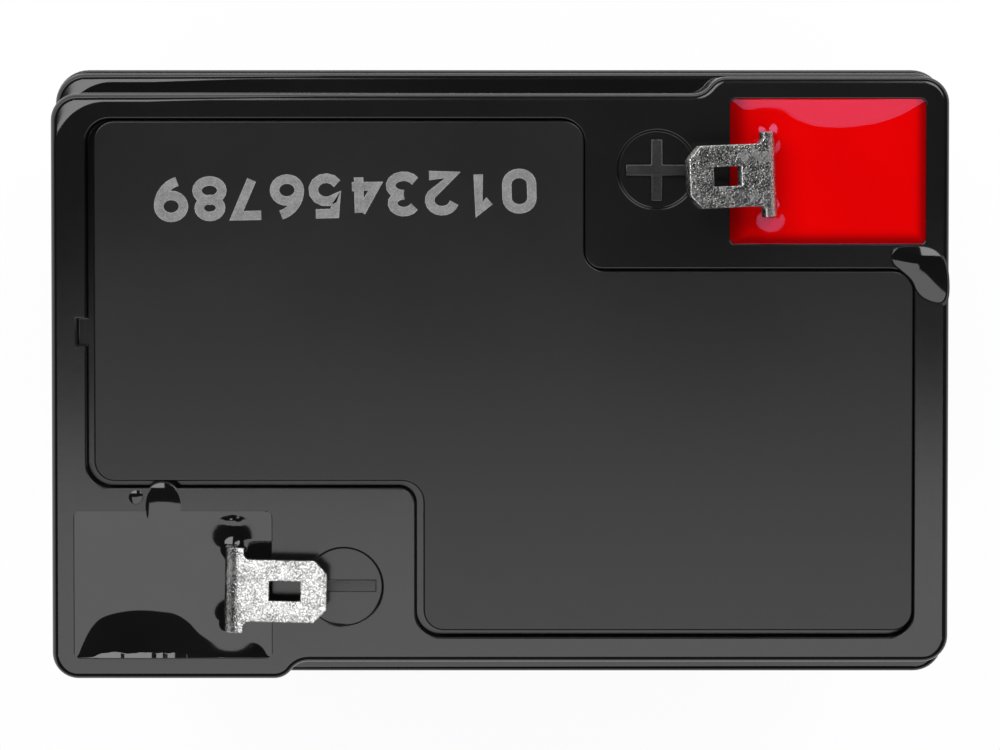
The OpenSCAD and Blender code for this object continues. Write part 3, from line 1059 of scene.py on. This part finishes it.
@dataclass
class NumberMark:
    """A row of plain digits on the cover, upside down as seen from the front.

    Attributes:
        paints: The finishes.
        left_px: Middle of the leftmost digit in the photo.
        right_px: Middle of the rightmost digit in the photo.
        width: Width of a digit between the middles of its strokes.
        height: Height of a digit between them.
        stroke: Width of a stroke.
        outline: How much wider the paler line below it is.
        thickness: How far the mark stands up.
        sunk: How far it reaches into the cover.
        layer: How much higher a digit's second stroke lies.
        sharpest: Least share that keeps the corners of sharp bends in.
    """

    paints: Paints
    left_px: Point2 = (170.5, 199.7)
    right_px: Point2 = (518.5, 191.2)
    width: float = 1.9
    height: float = 2.72
    stroke: float = 0.62
    outline: float = 0.1
    thickness: float = 0.02
    sunk: float = 0.05
    layer: float = 0.003
    sharpest: float = 0.55

    def strokes(self, digit: Digit) -> list[list[Point2]]:
        """Paths of one digit in a box 1 wide and 1 high.

        Args:
            digit: Which digit.

        Returns:
            One list of points for each stroke.
        """
        full = (0.5, 0.3)
        paths = {
            Digit.ZERO: [arc((0.5, 0.7), full, 0, 180) + arc((0.5, 0.3), full, 180, 360)
                         + [(1, 0.7)]],
            Digit.ONE: [[(0.15, 0.75), (0.58, 1), (0.58, 0)]],
            Digit.TWO: [arc((0.5, 0.7), full, 165, -35) + [(0.04, 0), (1, 0)]],
            Digit.THREE: [arc((0.48, 0.76), (0.46, 0.24), 155, -90),
                          arc((0.48, 0.26), (0.52, 0.26), 90, -155)],
            Digit.FOUR: [[(1, 0.26), (0.04, 0.26), (0.66, 0.98)], [(0.72, 1), (0.72, 0)]],
            Digit.FIVE: [[(0.92, 1), (0.16, 1), (0.08, 0.56)]
                         + arc((0.48, 0.33), (0.52, 0.33), 130, -150)],
            Digit.SIX: [arc((0.5, 0.31), (0.5, 0.31), 180, -180, 20),
                        arc((1.03, 0.31), (1.03, 0.72), 180, 105)],
            Digit.SEVEN: [[(0, 1), (1, 1), (0.35, 0)]],
            Digit.EIGHT: [arc((0.5, 0.76), (0.43, 0.24), 0, 360, 20),
                          arc((0.5, 0.27), (0.5, 0.27), 0, 360, 20)],
            Digit.NINE: [arc((0.5, 0.69), (0.5, 0.31), 0, 360, 20),
                         arc((-0.03, 0.69), (1.03, 0.72), 0, -75)],
        }
        return paths[digit]

    def bar(self, path: Sequence[Point2], levels: Point2,
            wide: float) -> tuple[list[Point3], Faces]:
        """Turn a path into a thin closed bar with square ends.

        Args:
            path: The points along its middle, in millimetres.
            levels: Heights of its underside and its top.
            wide: Its width.

        Returns:
            Its points and faces.
        """
        low, high = levels
        same_place = 1e-6
        points: list[Point3] = []
        faces: Faces = []
        ring = math.dist(path[0], path[-1]) < same_place
        path = path[:-1] if ring else path
        last = len(path) - 1
        for i, here in enumerate(path):
            before = Vector(path[i - 1] if i or ring else here)
            after = Vector(path[(i + 1) % len(path)] if i < last or ring else here)
            into = (Vector(here) - before if i or ring else after - Vector(here)).normalized()
            out = (after - Vector(here) if i < last or ring else Vector(here) - before).normalized()
            side = Vector((-(into + out).y, (into + out).x)).normalized()
            reach = wide / 2 / max(side.dot(Vector((-into.y, into.x))), self.sharpest)
            for sign, level in ((-1, low), (1, low), (1, high), (-1, high)):
                out_to = sign * reach
                points.append((here[0] + side.x * out_to, here[1] + side.y * out_to, level))
            if i:
                faces += self.sleeve(4 * i - 4, 4 * i)
        if ring:
            faces += self.sleeve(4 * last, 0)
        else:
            faces += [[3, 2, 1, 0], [4 * last + n for n in range(4)]]
        return points, faces

    def sleeve(self, start: int, end: int) -> Faces:
        """Four faces between two rings of four corners.

        Args:
            start: First corner of one ring.
            end: First corner of the other ring.

        Returns:
            The faces.
        """
        return [[start + n, start + (n + 1) % 4, end + (n + 1) % 4, end + n] for n in range(4)]

    def row(self, name: str, rise: float, wide: float, finish: Finish) -> Piece:
        """Make the whole row of digits as one thin piece.

        Args:
            name: Name of the piece.
            rise: Height of its top over the cover.
            wide: Width of its strokes.
            finish: Its material.

        Returns:
            The row.
        """
        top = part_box("vent_cover")[1].z / MM + rise
        left, right = Vector(on_lid(self.left_px)), Vector(on_lid(self.right_px))
        tilt = Matrix.Rotation(math.atan2(right.y - left.y, right.x - left.x), 2)
        points: list[Point3] = []
        faces: Faces = []
        digits = list(Digit)
        for index, digit in enumerate(digits):
            middle = right.lerp(left, index / (len(digits) - 1))
            for number, path in enumerate(self.strokes(digit)):
                placed = [tuple(middle + tilt @ Vector(((0.5 - x) * self.width,
                                                        (0.5 - y) * self.height)))
                          for x, y in path]
                levels = (top - self.sunk, top + self.layer * number)
                new_points, new_faces = self.bar(placed, levels, wide)
                faces += [[i + len(points) for i in face] for face in new_faces]
                points += new_points
        piece = piece_from(name, points, faces)
        shade(piece, smooth=False)
        return settle(piece, finish, Slot.LID)

    def build(self) -> list[Piece]:
        """Make the digits and the paler line round them.

        Returns:
            The pieces.
        """
        return [
            self.row("number_mark_edge", self.thickness / 2, self.stroke + self.outline,
                     self.paints.mark_edge),
            self.row("number_mark", self.thickness, self.stroke, self.paints.mark),
        ]


@dataclass(frozen=True)
class Leg:
    """The outline of a tab's leg where it comes out of the resin.

    Attributes:
        post: Place of the post that the tab is turned about.
        turn: Its turn in degrees.
        near: Distance from the post to the leg's nearer face.
        thick: Thickness of the leg.
        half_width: Half its width.
    """

    post: Point2
    turn: float
    near: float = 4.1
    thick: float = 0.8
    half_width: float = 3.25

    def distances(self, x: float, y: float) -> Point2:
        """Distances from the leg's outline and from the nearer of its two narrow ends.

        Args:
            x: Place along X.
            y: Place along Y.

        Returns:
            Both distances in millimetres, 0 inside.
        """
        angle = math.radians(self.turn)
        dx, dy = x - self.post[0], y - self.post[1]
        along = dx * math.cos(angle) + dy * math.sin(angle)
        across = dy * math.cos(angle) - dx * math.sin(angle)
        outside = max(self.near - along, along - self.near - self.thick, 0)
        half = self.thick / 2
        to_end = math.hypot(along - self.near - half, abs(across) - self.half_width + half)
        return math.hypot(outside, max(abs(across) - self.half_width, 0)), max(to_end - half, 0)


@dataclass
class ResinPool:
    """One potted well: a closed pour whose skin climbs one long wall and the tab's leg.

    Attributes:
        node: The CAD node that it replaces.
        finish: Its material.
        slot: The record's slot that it belongs to.
        leg: The leg that stands in it.
        shore: How far the rise reaches from its long wall, by the distance from the left wall.
        shore_side: 1 for a rise along the back wall and -1 for the front wall.
        shore_slope: Slope of that rise.
        end_climb: Height of the climb at the leg's narrow ends.
        end_reach: Distance over which that climb falls off.
        shade: Width of the painted shade at the left, right, front and back walls.
        swell: Further unevenness of the skin.
        fill: Height of the skin over the CAD node's top.
        brim: How far it reaches past the CAD node's sides.
        shore_bend: Length over which the rise along the long wall starts.
        leg_climb: Height of the climb all round the leg.
        leg_reach: Distance over which it falls off.
        wall_climb: Height of the climb at the walls.
        wall_reach: Distance over which it falls off.
        shade_edge: Softness of the painted shade's edge, as a share of its width.
        wave_height: Height of the waves in the skin.
        wave_scale: Waves in a millimetre.
        corner: Radius of the well's corners.
        columns: Number of stretches along X.
        rows: Number of stretches along Y.
    """

    node: str
    finish: Finish
    slot: Slot
    leg: Leg
    shore: Sequence[Point2]
    shore_side: int
    shore_slope: float
    end_climb: float
    end_reach: float
    shade: Sequence[float] = (0, 0, 0, 0)
    swell: Rule | None = None
    fill: float = 0.0
    brim: float = 0.0
    shore_bend: float = 0.07
    leg_climb: float = 0.03
    leg_reach: float = 0.15
    wall_climb: float = 0.03
    wall_reach: float = 0.2
    shade_edge: float = 0.3
    wave_height: float = 0.004
    wave_scale: float = 0.3
    corner: float = 0.5
    columns: int = 200
    rows: int = 148

    def build(self) -> Piece:
        """Make the pour as a grid with walls and a floor.

        Returns:
            The pour.
        """
        low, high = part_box(self.node)
        x0, y0, floor = (value / MM for value in low)
        x1, y1, level = (value / MM for value in high)
        x0, x1, y0, y1 = x0 - self.brim, x1 + self.brim, y0 - self.brim, y1 + self.brim
        points: list[Point3] = []
        faces: Faces = []
        for row in range(self.rows + 1):
            for column in range(self.columns + 1):
                x = x0 + (x1 - x0) * column / self.columns
                y = y0 + (y1 - y0) * row / self.rows
                x, y = self.inside((x0, y0, x1, y1), x, y)
                walls = (x - x0, x1 - x, y - y0, y1 - y)
                points.append((x, y, level + self.fill + self.height(x, y, walls)))
        width = self.columns + 1
        for row in range(self.rows):
            for column in range(self.columns):
                corner = row * width + column
                faces.append([corner, corner + 1, corner + width + 1, corner + width])
        border = list(range(width))
        border += [r * width + self.columns for r in range(1, self.rows + 1)]
        border += [self.rows * width + c for c in range(self.columns - 1, -1, -1)]
        border += [r * width for r in range(self.rows - 1, 0, -1)]
        start = len(points)
        points += [(points[i][0], points[i][1], floor) for i in border]
        for i, here in enumerate(border):
            j = (i + 1) % len(border)
            faces.append([border[j], here, start + i, start + j])
        faces.append(list(range(start, start + len(border))))
        pour = piece_from(f"{self.node}_pour", points, faces)
        # painted shade: store how much the colour darkens near each wall
        tint(pour, PAINTED_WALL_SHADE, lambda x, y: self.shading((x - x0, x1 - x, y - y0, y1 - y)))
        return settle(pour, self.finish, self.slot, self.node)

    def inside(self, box: tuple[float, float, float, float], x: float, y: float) -> Point2:
        """Pull a point that lies past a round corner of the well back onto its arc.

        Args:
            box: The well's lowest and highest X and Y.
            x: The point's X.
            y: The point's Y.

        Returns:
            The point, inside the well.
        """
        cx = min(max(x, box[0] + self.corner), box[2] - self.corner)
        cy = min(max(y, box[1] + self.corner), box[3] - self.corner)
        away = math.hypot(x - cx, y - cy)
        if away <= self.corner:
            return x, y
        return cx + (x - cx) * self.corner / away, cy + (y - cy) * self.corner / away

    def height(self, x: float, y: float, walls: Sequence[float]) -> float:
        """Height of the skin over its flat level.

        Args:
            x: Place along X.
            y: Place along Y.
            walls: Distances from the left, right, front and back walls.

        Returns:
            The height in millimetres.
        """
        from_shore = walls[3] if self.shore_side > 0 else walls[2]
        beyond = curve_through(self.shore, walls[0]) - from_shore
        climb = self.shore_slope * soft_ramp(beyond, self.shore_bend)
        side, end = self.leg.distances(x, y)
        at_leg = self.leg_climb * math.exp(-side / self.leg_reach)
        at_leg += self.end_climb * math.exp(-end / self.end_reach)
        at_wall = self.wall_climb * math.exp(-min(walls) / self.wall_reach)
        wave_lane = 3.7
        waves = unevenness(x * self.wave_scale, (y * self.wave_scale, wave_lane))
        swell = self.swell(x, y) if self.swell else 0.0
        return climb + at_leg + at_wall + self.wave_height * waves + swell

    def shading(self, walls: Sequence[float]) -> float:
        """How much painted shade darkens the colour near the walls.

        Args:
            walls: Distances from the left, right, front and back walls.

        Returns:
            0 for the open skin, up to 1 at a wall.
        """
        return max(switch(reach - wall, self.shade_edge * reach) if reach else 0
                   for wall, reach in zip(walls, self.shade))


@dataclass(frozen=True)
class BlackSkin:
    """Unevenness of the black resin's skin: a crumbly front lip, a chip and a hollow.

    Attributes:
        lip_wall: Y of the wall that the lip stands along.
        lip_ends: X of its two ends.
        lip_fade: Length over which it fades at each of them.
        lip_reach: How far it reaches from the wall, and how much that wanders.
        lip_short: How much of that reach is lost.
        lip_slope: Its slope towards the wall.
        lip_bend: Length over which it starts.
        lip_waves: How fast it wanders, coarse and fine.
        lip_fine: Share of the fine wandering.
        chip_at: Middle of the raised chip.
        chip_size: Its reach along X and Y.
        chip_rise: Its height.
        chip_whole: Share of it that is even.
        chip_waves: How fast the rest wanders.
        hollow_from: X and Y where the hollow beside the leg begins.
        hollow_lean: How far its edge leans towards +X.
        hollow_edge: Softness of that edge.
        hollow_run: Length over which it deepens towards -Y.
        hollow_end: Y where it has ended.
        hollow_rise: Length over which it ends.
        hollow_depth: Its depth.
    """

    lip_wall: float = -21.4
    lip_ends: Point2 = (-30.9, -22.6)
    lip_fade: Point2 = (0.2, 0.35)
    lip_reach: Point2 = (0.4, 0.13)
    lip_short: float = 0.06
    lip_slope: float = 0.2
    lip_bend: float = 0.012
    lip_waves: Point2 = (1.3, 4.5)
    lip_fine: float = 0.2
    chip_at: Point2 = (-20.5, -10.9)
    chip_size: Point2 = (0.55, 0.22)
    chip_rise: float = 0.05
    chip_whole: float = 0.7
    chip_waves: float = 3
    hollow_from: Point2 = (-19.7, -12.4)
    hollow_lean: float = 0.4
    hollow_edge: float = 0.12
    hollow_run: float = 1.35
    hollow_end: float = -16.8
    hollow_rise: float = 1.5
    hollow_depth: float = 0.16

    def __call__(self, x: float, y: float) -> float:
        """Height of the unevenness.

        Args:
            x: Place along X.
            y: Place along Y.

        Returns:
            The height in millimetres.
        """
        return self.lip(x, y) - self.hollow(x, y) + self.chip(x, y)

    def lip(self, x: float, y: float) -> float:
        """Height of the crumbly lip.

        Args:
            x: Place along X.
            y: Place along Y.

        Returns:
            The height in millimetres.
        """
        coarse_lane, fine_lane = (0.3, 8.1), (0.9, 2.1)
        ragged = unevenness(x * self.lip_waves[0], coarse_lane)
        ragged += self.lip_fine * unevenness(x * self.lip_waves[1], fine_lane)
        ends = switch(x - self.lip_ends[0], self.lip_fade[0])
        ends *= switch(self.lip_ends[1] - x, self.lip_fade[1])
        reach = (self.lip_reach[0] + self.lip_reach[1] * ragged) * ends - self.lip_short
        return self.lip_slope * soft_ramp(reach - (y - self.lip_wall), self.lip_bend)

    def hollow(self, x: float, y: float) -> float:
        """Depth of the hollow beside the leg.

        Args:
            x: Place along X.
            y: Place along Y.

        Returns:
            The depth in millimetres.
        """
        into = held((self.hollow_from[1] - y) / self.hollow_run)
        past = switch(x - (self.hollow_from[0] + self.hollow_lean * into), self.hollow_edge)
        before_end = held((y - self.hollow_end) / self.hollow_rise)
        return self.hollow_depth * past * into * before_end

    def chip(self, x: float, y: float) -> float:
        """Height of the raised chip.

        Args:
            x: Place along X.
            y: Place along Y.

        Returns:
            The height in millimetres.
        """
        chip_lane = 1.3
        along = (x - self.chip_at[0]) / self.chip_size[0]
        across = (y - self.chip_at[1]) / self.chip_size[1]
        crumbly = unevenness(x * self.chip_waves, (y * self.chip_waves, chip_lane))
        mound = self.chip_rise * math.exp(-along ** 2 - across ** 2)
        return mound * (self.chip_whole + crumbly)


@dataclass
class Terminals:
    """The two resin pools and the finish of the tabs.

    Attributes:
        paints: The finishes.
        post: Place of the positive post; the negative post lies opposite.
        positive_turn: Turn of the positive tab about its post, in degrees.
        negative_turn: Turn of the negative tab.
        tab_edge: Radius of the tabs' small edges.
        red_shore: Reach of the red resin's rise along its back wall.
        black_shore: Reach of the black resin's rise along its front wall.
    """

    paints: Paints
    post: Point2 = (25.1, 15.85)
    positive_turn: float = 182.2
    negative_turn: float = -1.2
    tab_edge: float = 0.09
    red_shore: Sequence[Point2] = (
        (0.2, 0.05), (1.05, 0.95), (3.2, 1.05), (5.0, 1.75), (6.6, 2.2), (8.4, 2.32),
        (10.7, 2.1), (12.2, 1.7), (13.4, 1.2), (14.3, 0.6), (15.0, 0.1))
    black_shore: Sequence[Point2] = (
        (0.25, 0.05), (0.55, 0.9), (1.2, 2.2), (1.9, 3.0), (2.6, 3.35), (3.9, 3.65),
        (5.2, 3.75), (6.6, 3.65), (7.8, 3.45), (8.8, 2.85), (9.7, 1.95), (11.0, 1.35),
        (12.3, 1.3), (13.3, 1.42), (14.0, 1.3), (14.6, 0.8), (14.9, 0.1))

    def build(self) -> list[Piece]:
        """Dress the tabs and make the pools.

        Returns:
            The pieces.
        """
        tabs = [dress_node(node, self.paints.tin, self.tab_edge)
                for node in ("positive_terminal", "negative_terminal")]
        # The red pour gets painted shade along its left, right and front walls; the black pour gets
        # none.
        red = ResinPool(
            "positive_potting", self.paints.red, Slot.RED, Leg(self.post, self.positive_turn),
            self.red_shore, shore_side=1, shore_slope=0.06, end_climb=0.19, end_reach=0.5,
            shade=(1.0, 0.5, 0.6, 0))
        opposite = (-self.post[0], -self.post[1])
        black = ResinPool(
            "negative_potting", self.paints.black, Slot.BLACK, Leg(opposite, self.negative_turn),
            self.black_shore, shore_side=-1, shore_slope=0.055, end_climb=0.23, end_reach=0.58,
            swell=BlackSkin(), fill=0.115, brim=0.13, wall_climb=0.012)
        return [*tabs, red.build(), black.build()]


@dataclass(frozen=True)
class Spill:
    """One spill on the lid: its outline in the photo, and its heights from the lid's top."""

    name: str
    outline_px: Sequence[Point2]
    foot: float
    crown: float
    lean: float = 0.0


@dataclass
class Spills:
    """Drops of black resin and glue left on the lid round the two wells."""

    paints: Paints
    spills: Sequence[Spill] = (
        Spill("resin_drop", (
            (126, 497), (129, 503), (135, 506), (141, 502), (143, 495), (139, 490),
            (131, 489.5)), -0.01, 0.08),
        Spill("resin_lobe", (
            (140, 510), (142, 494), (149, 484), (161, 480), (174, 484), (182, 494), (184, 510),
            (180, 527), (162, 537), (144, 527)), -0.06, 0.13, 0.1),
        Spill("glue_puddle", (
            (889, 247), (887, 262), (900, 272), (911, 282), (915, 294), (925, 303), (942, 308),
            (949, 299), (948, 268), (941, 252), (926, 244.5), (905, 245)), -0.01, 0.17, 0.75),
    )

    def build(self) -> list[Piece]:
        """Make the drop, the lobe and the puddle.

        Returns:
            The pieces.
        """
        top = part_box("lid")[1].z / MM
        pieces = []
        for spill in self.spills:
            outline = smooth_outline([on_lid(pixel) for pixel in spill.outline_px])
            drop = dome(spill.name, outline, (top + spill.foot, top + spill.crown), spill.lean)
            # no painted shade on the drops
            tint(drop, PAINTED_WALL_SHADE, lambda x, y: 0.0)
            pieces.append(settle(drop, self.paints.black, Slot.BLACK))
        return pieces


@dataclass
class CellPack:
    """Finishes of the pieces sealed inside: valves, seals, straps, plates and mats."""

    paints: Paints

    def build(self) -> list[Piece]:
        """Give each inner CAD node its finish.

        Returns:
            The pieces.
        """
        kinds = (("vent_cap", self.paints.valve), ("post_seal", self.paints.seal),
                 ("strap", self.paints.lead), ("link", self.paints.lead),
                 ("positive_plate", self.paints.brown), ("negative_plate", self.paints.grey),
                 ("separator", self.paints.mat))
        return [dress_node(name, finish)
                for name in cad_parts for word, finish in kinds if word in name]


@dataclass
class Studio:
    """A pale floor, soft light from the front side and the camera over the lid.

    Attributes:
        eye: Place of the camera.
        aim: Point that it looks at.
        frame_width: Width that it frames at that point.
        sensor: Width of its sensor.
        far: Distance up to which it sees, in metres.
        ceiling: Height of the lamps.
        front_rows: Y of the front lamp's two edges.
        front_across: X of its two sides.
        front_glow: Brightness of its face.
        back_rows: Y of the back lamps' edges.
        back_left: X of the left one's sides.
        back_right: X of the right one's sides.
        back_glow: Brightness of their faces.
        floor_half: Half the floor's width.
        paper: Colour of the floor.
        paper_glow: Its brightness as the camera and reflections see it.
        paper_share: Share of that brightness in the camera's view.
        air_height: Heights over which the walls darken, as parts of a direction.
        air_glow: Brightness of the walls at each of them.
        rear_turn: Directions between which the rear wall brightens.
        rear_glow: How much brighter it is at each of them.
        fill_glow: Brightness of the air as a fill.
    """

    eye: Point3 = (0.0, 20.6, 531.0)
    aim: Point3 = (0.06, 0.27, 101.0)
    frame_width: float = 76.63
    sensor: float = 36
    far: float = 10
    ceiling: float = 551.0
    front_rows: Point2 = (-359.0, -29.0)
    front_across: Point2 = (-200.0, 200.0)
    front_glow: float = 2.5
    back_rows: Point2 = (100.0, 420.0)
    back_left: Point2 = (-330.0, -34.0)
    back_right: Point2 = (76.0, 330.0)
    back_glow: float = 5.5
    floor_half: float = 1500
    paper: Colour = (0.8, 0.8, 0.8)
    paper_glow: float = 1.04
    paper_share: float = 0.9
    air_height: Point2 = (0.02, 0.2)
    air_glow: Point2 = (1.0, 0.02)
    rear_turn: Point2 = (0.2, 0.9)
    rear_glow: Point2 = (1.0, 5.0)
    fill_glow: float = 0.2

    def build(self) -> list[Piece]:
        """Make the floor, the world, the lamps and the camera.

        Returns:
            The floor, the lamps and the camera.
        """
        floor = self.floor()
        self.world()
        return [
            floor,
            self.panel("front_softbox", self.front_across, self.front_rows, self.front_glow),
            self.panel("back_left_panel", self.back_left, self.back_rows, self.back_glow),
            self.panel("back_right_panel", self.back_right, self.back_rows, self.back_glow),
            self.camera(),
        ]

    def floor(self) -> Piece:
        """Make a wide white floor that keeps a soft shadow.

        Returns:
            The floor.
        """
        half = self.floor_half
        corners = [(-half, -half, 0), (half, -half, 0), (half, half, 0), (-half, half, 0)]
        floor = piece_from("floor", corners, [[0, 1, 2, 3]])
        material = bpy.data.materials.new("pale_floor")
        material.use_nodes = True
        board = Wiring(material.node_tree)
        board.tree.nodes.clear()
        path = board.node("LightPath").outputs
        shown = board.math("MULTIPLY_ADD", path["Is Camera Ray"], self.paper_share,
                           path["Is Glossy Ray"])
        paper = board.node("BsdfDiffuse", Color=(*self.paper, 1))
        glow = board.node("Emission", Strength=self.paper_glow)
        both = board.node("MixShader", Fac=shown)
        board.feed(paper.outputs[0], both.inputs[1])
        board.feed(glow.outputs[0], both.inputs[2])
        board.node("OutputMaterial", Surface=both.outputs[0])
        dress(floor, material)
        return floor

    def world(self) -> None:
        """White behind the camera's view, dark overhead for reflections, and a low fill."""
        world = bpy.data.worlds.new("studio_air")
        bpy.context.scene.world = world
        world.use_nodes = True
        board = Wiring(world.node_tree)
        board.tree.nodes.clear()
        path = board.node("LightPath").outputs
        _, back, up = board.axes(board.node("TexCoord").outputs["Generated"])
        walls = board.math("MULTIPLY", board.ramp(up, self.air_height, self.air_glow),
                           board.ramp(back, self.rear_turn, self.rear_glow))
        air = board.mix(path["Is Glossy Ray"], self.fill_glow, walls)
        shown = board.mix(path["Is Camera Ray"], air, 1.0)
        glow = board.node("Background", Strength=shown)
        board.node("OutputWorld", Surface=glow.outputs[0])

    def panel(self, name: str, across: Point2, along: Point2, glow: float) -> Piece:
        """Hang a level rectangular lamp over the block.

        Args:
            name: Name of the lamp.
            across: Its lowest and highest X in millimetres.
            along: Its lowest and highest Y in millimetres.
            glow: Brightness of its face, where 1 is white.

        Returns:
            The lamp.
        """
        data = bpy.data.lights.new(name, "AREA")
        data.shape = "RECTANGLE"
        data.size = (across[1] - across[0]) * MM
        data.size_y = (along[1] - along[0]) * MM
        data.energy = glow * math.pi * data.size * data.size_y
        lamp = bpy.data.objects.new(name, data)
        bpy.context.scene.collection.objects.link(lamp)
        lamp.location = Vector((sum(across) / 2, sum(along) / 2, self.ceiling)) * MM
        return lamp

    def camera(self) -> Piece:
        """Put the camera over the lid, where the photo was taken from.

        Returns:
            The camera.
        """
        line = Vector(self.eye) - Vector(self.aim)
        data = bpy.data.cameras.new("camera")
        data.sensor_width = self.sensor
        data.lens = self.sensor * line.length / self.frame_width
        data.clip_end = self.far
        camera = bpy.data.objects.new("camera", data)
        bpy.context.scene.collection.objects.link(camera)
        camera.location = Vector(self.eye) * MM
        back = line.normalized()
        right = Vector((1, 0, 0))
        up = back.cross(right).normalized()
        camera.rotation_euler = Matrix((right, up, back)).transposed().to_euler()
        bpy.context.scene.camera = camera
        return camera


class Buildable(Protocol):
    """A sub-assembly that can be built."""

    def build(self) -> list[Piece]:
        """Build it and give back its pieces."""


def build_and_report(part: Buildable) -> None:
    """Build a sub-assembly and report each of its pieces.

    Args:
        part: The sub-assembly.
    """
    for piece in part.build():
        LOG.info("%s: %s", type(part).__name__, piece.name)


def main() -> None:
    """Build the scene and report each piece."""
    logging.basicConfig(level=logging.INFO, format="%(name)s: %(message)s")
    bpy.context.scene.view_settings.view_transform = "Standard"
    build_and_report(Studio())
    paints = Paints()
    for kind in (Shell, NumberMark, Terminals, Spills, CellPack):
        build_and_report(kind(paints))


if __name__ == "__main__":
    main()
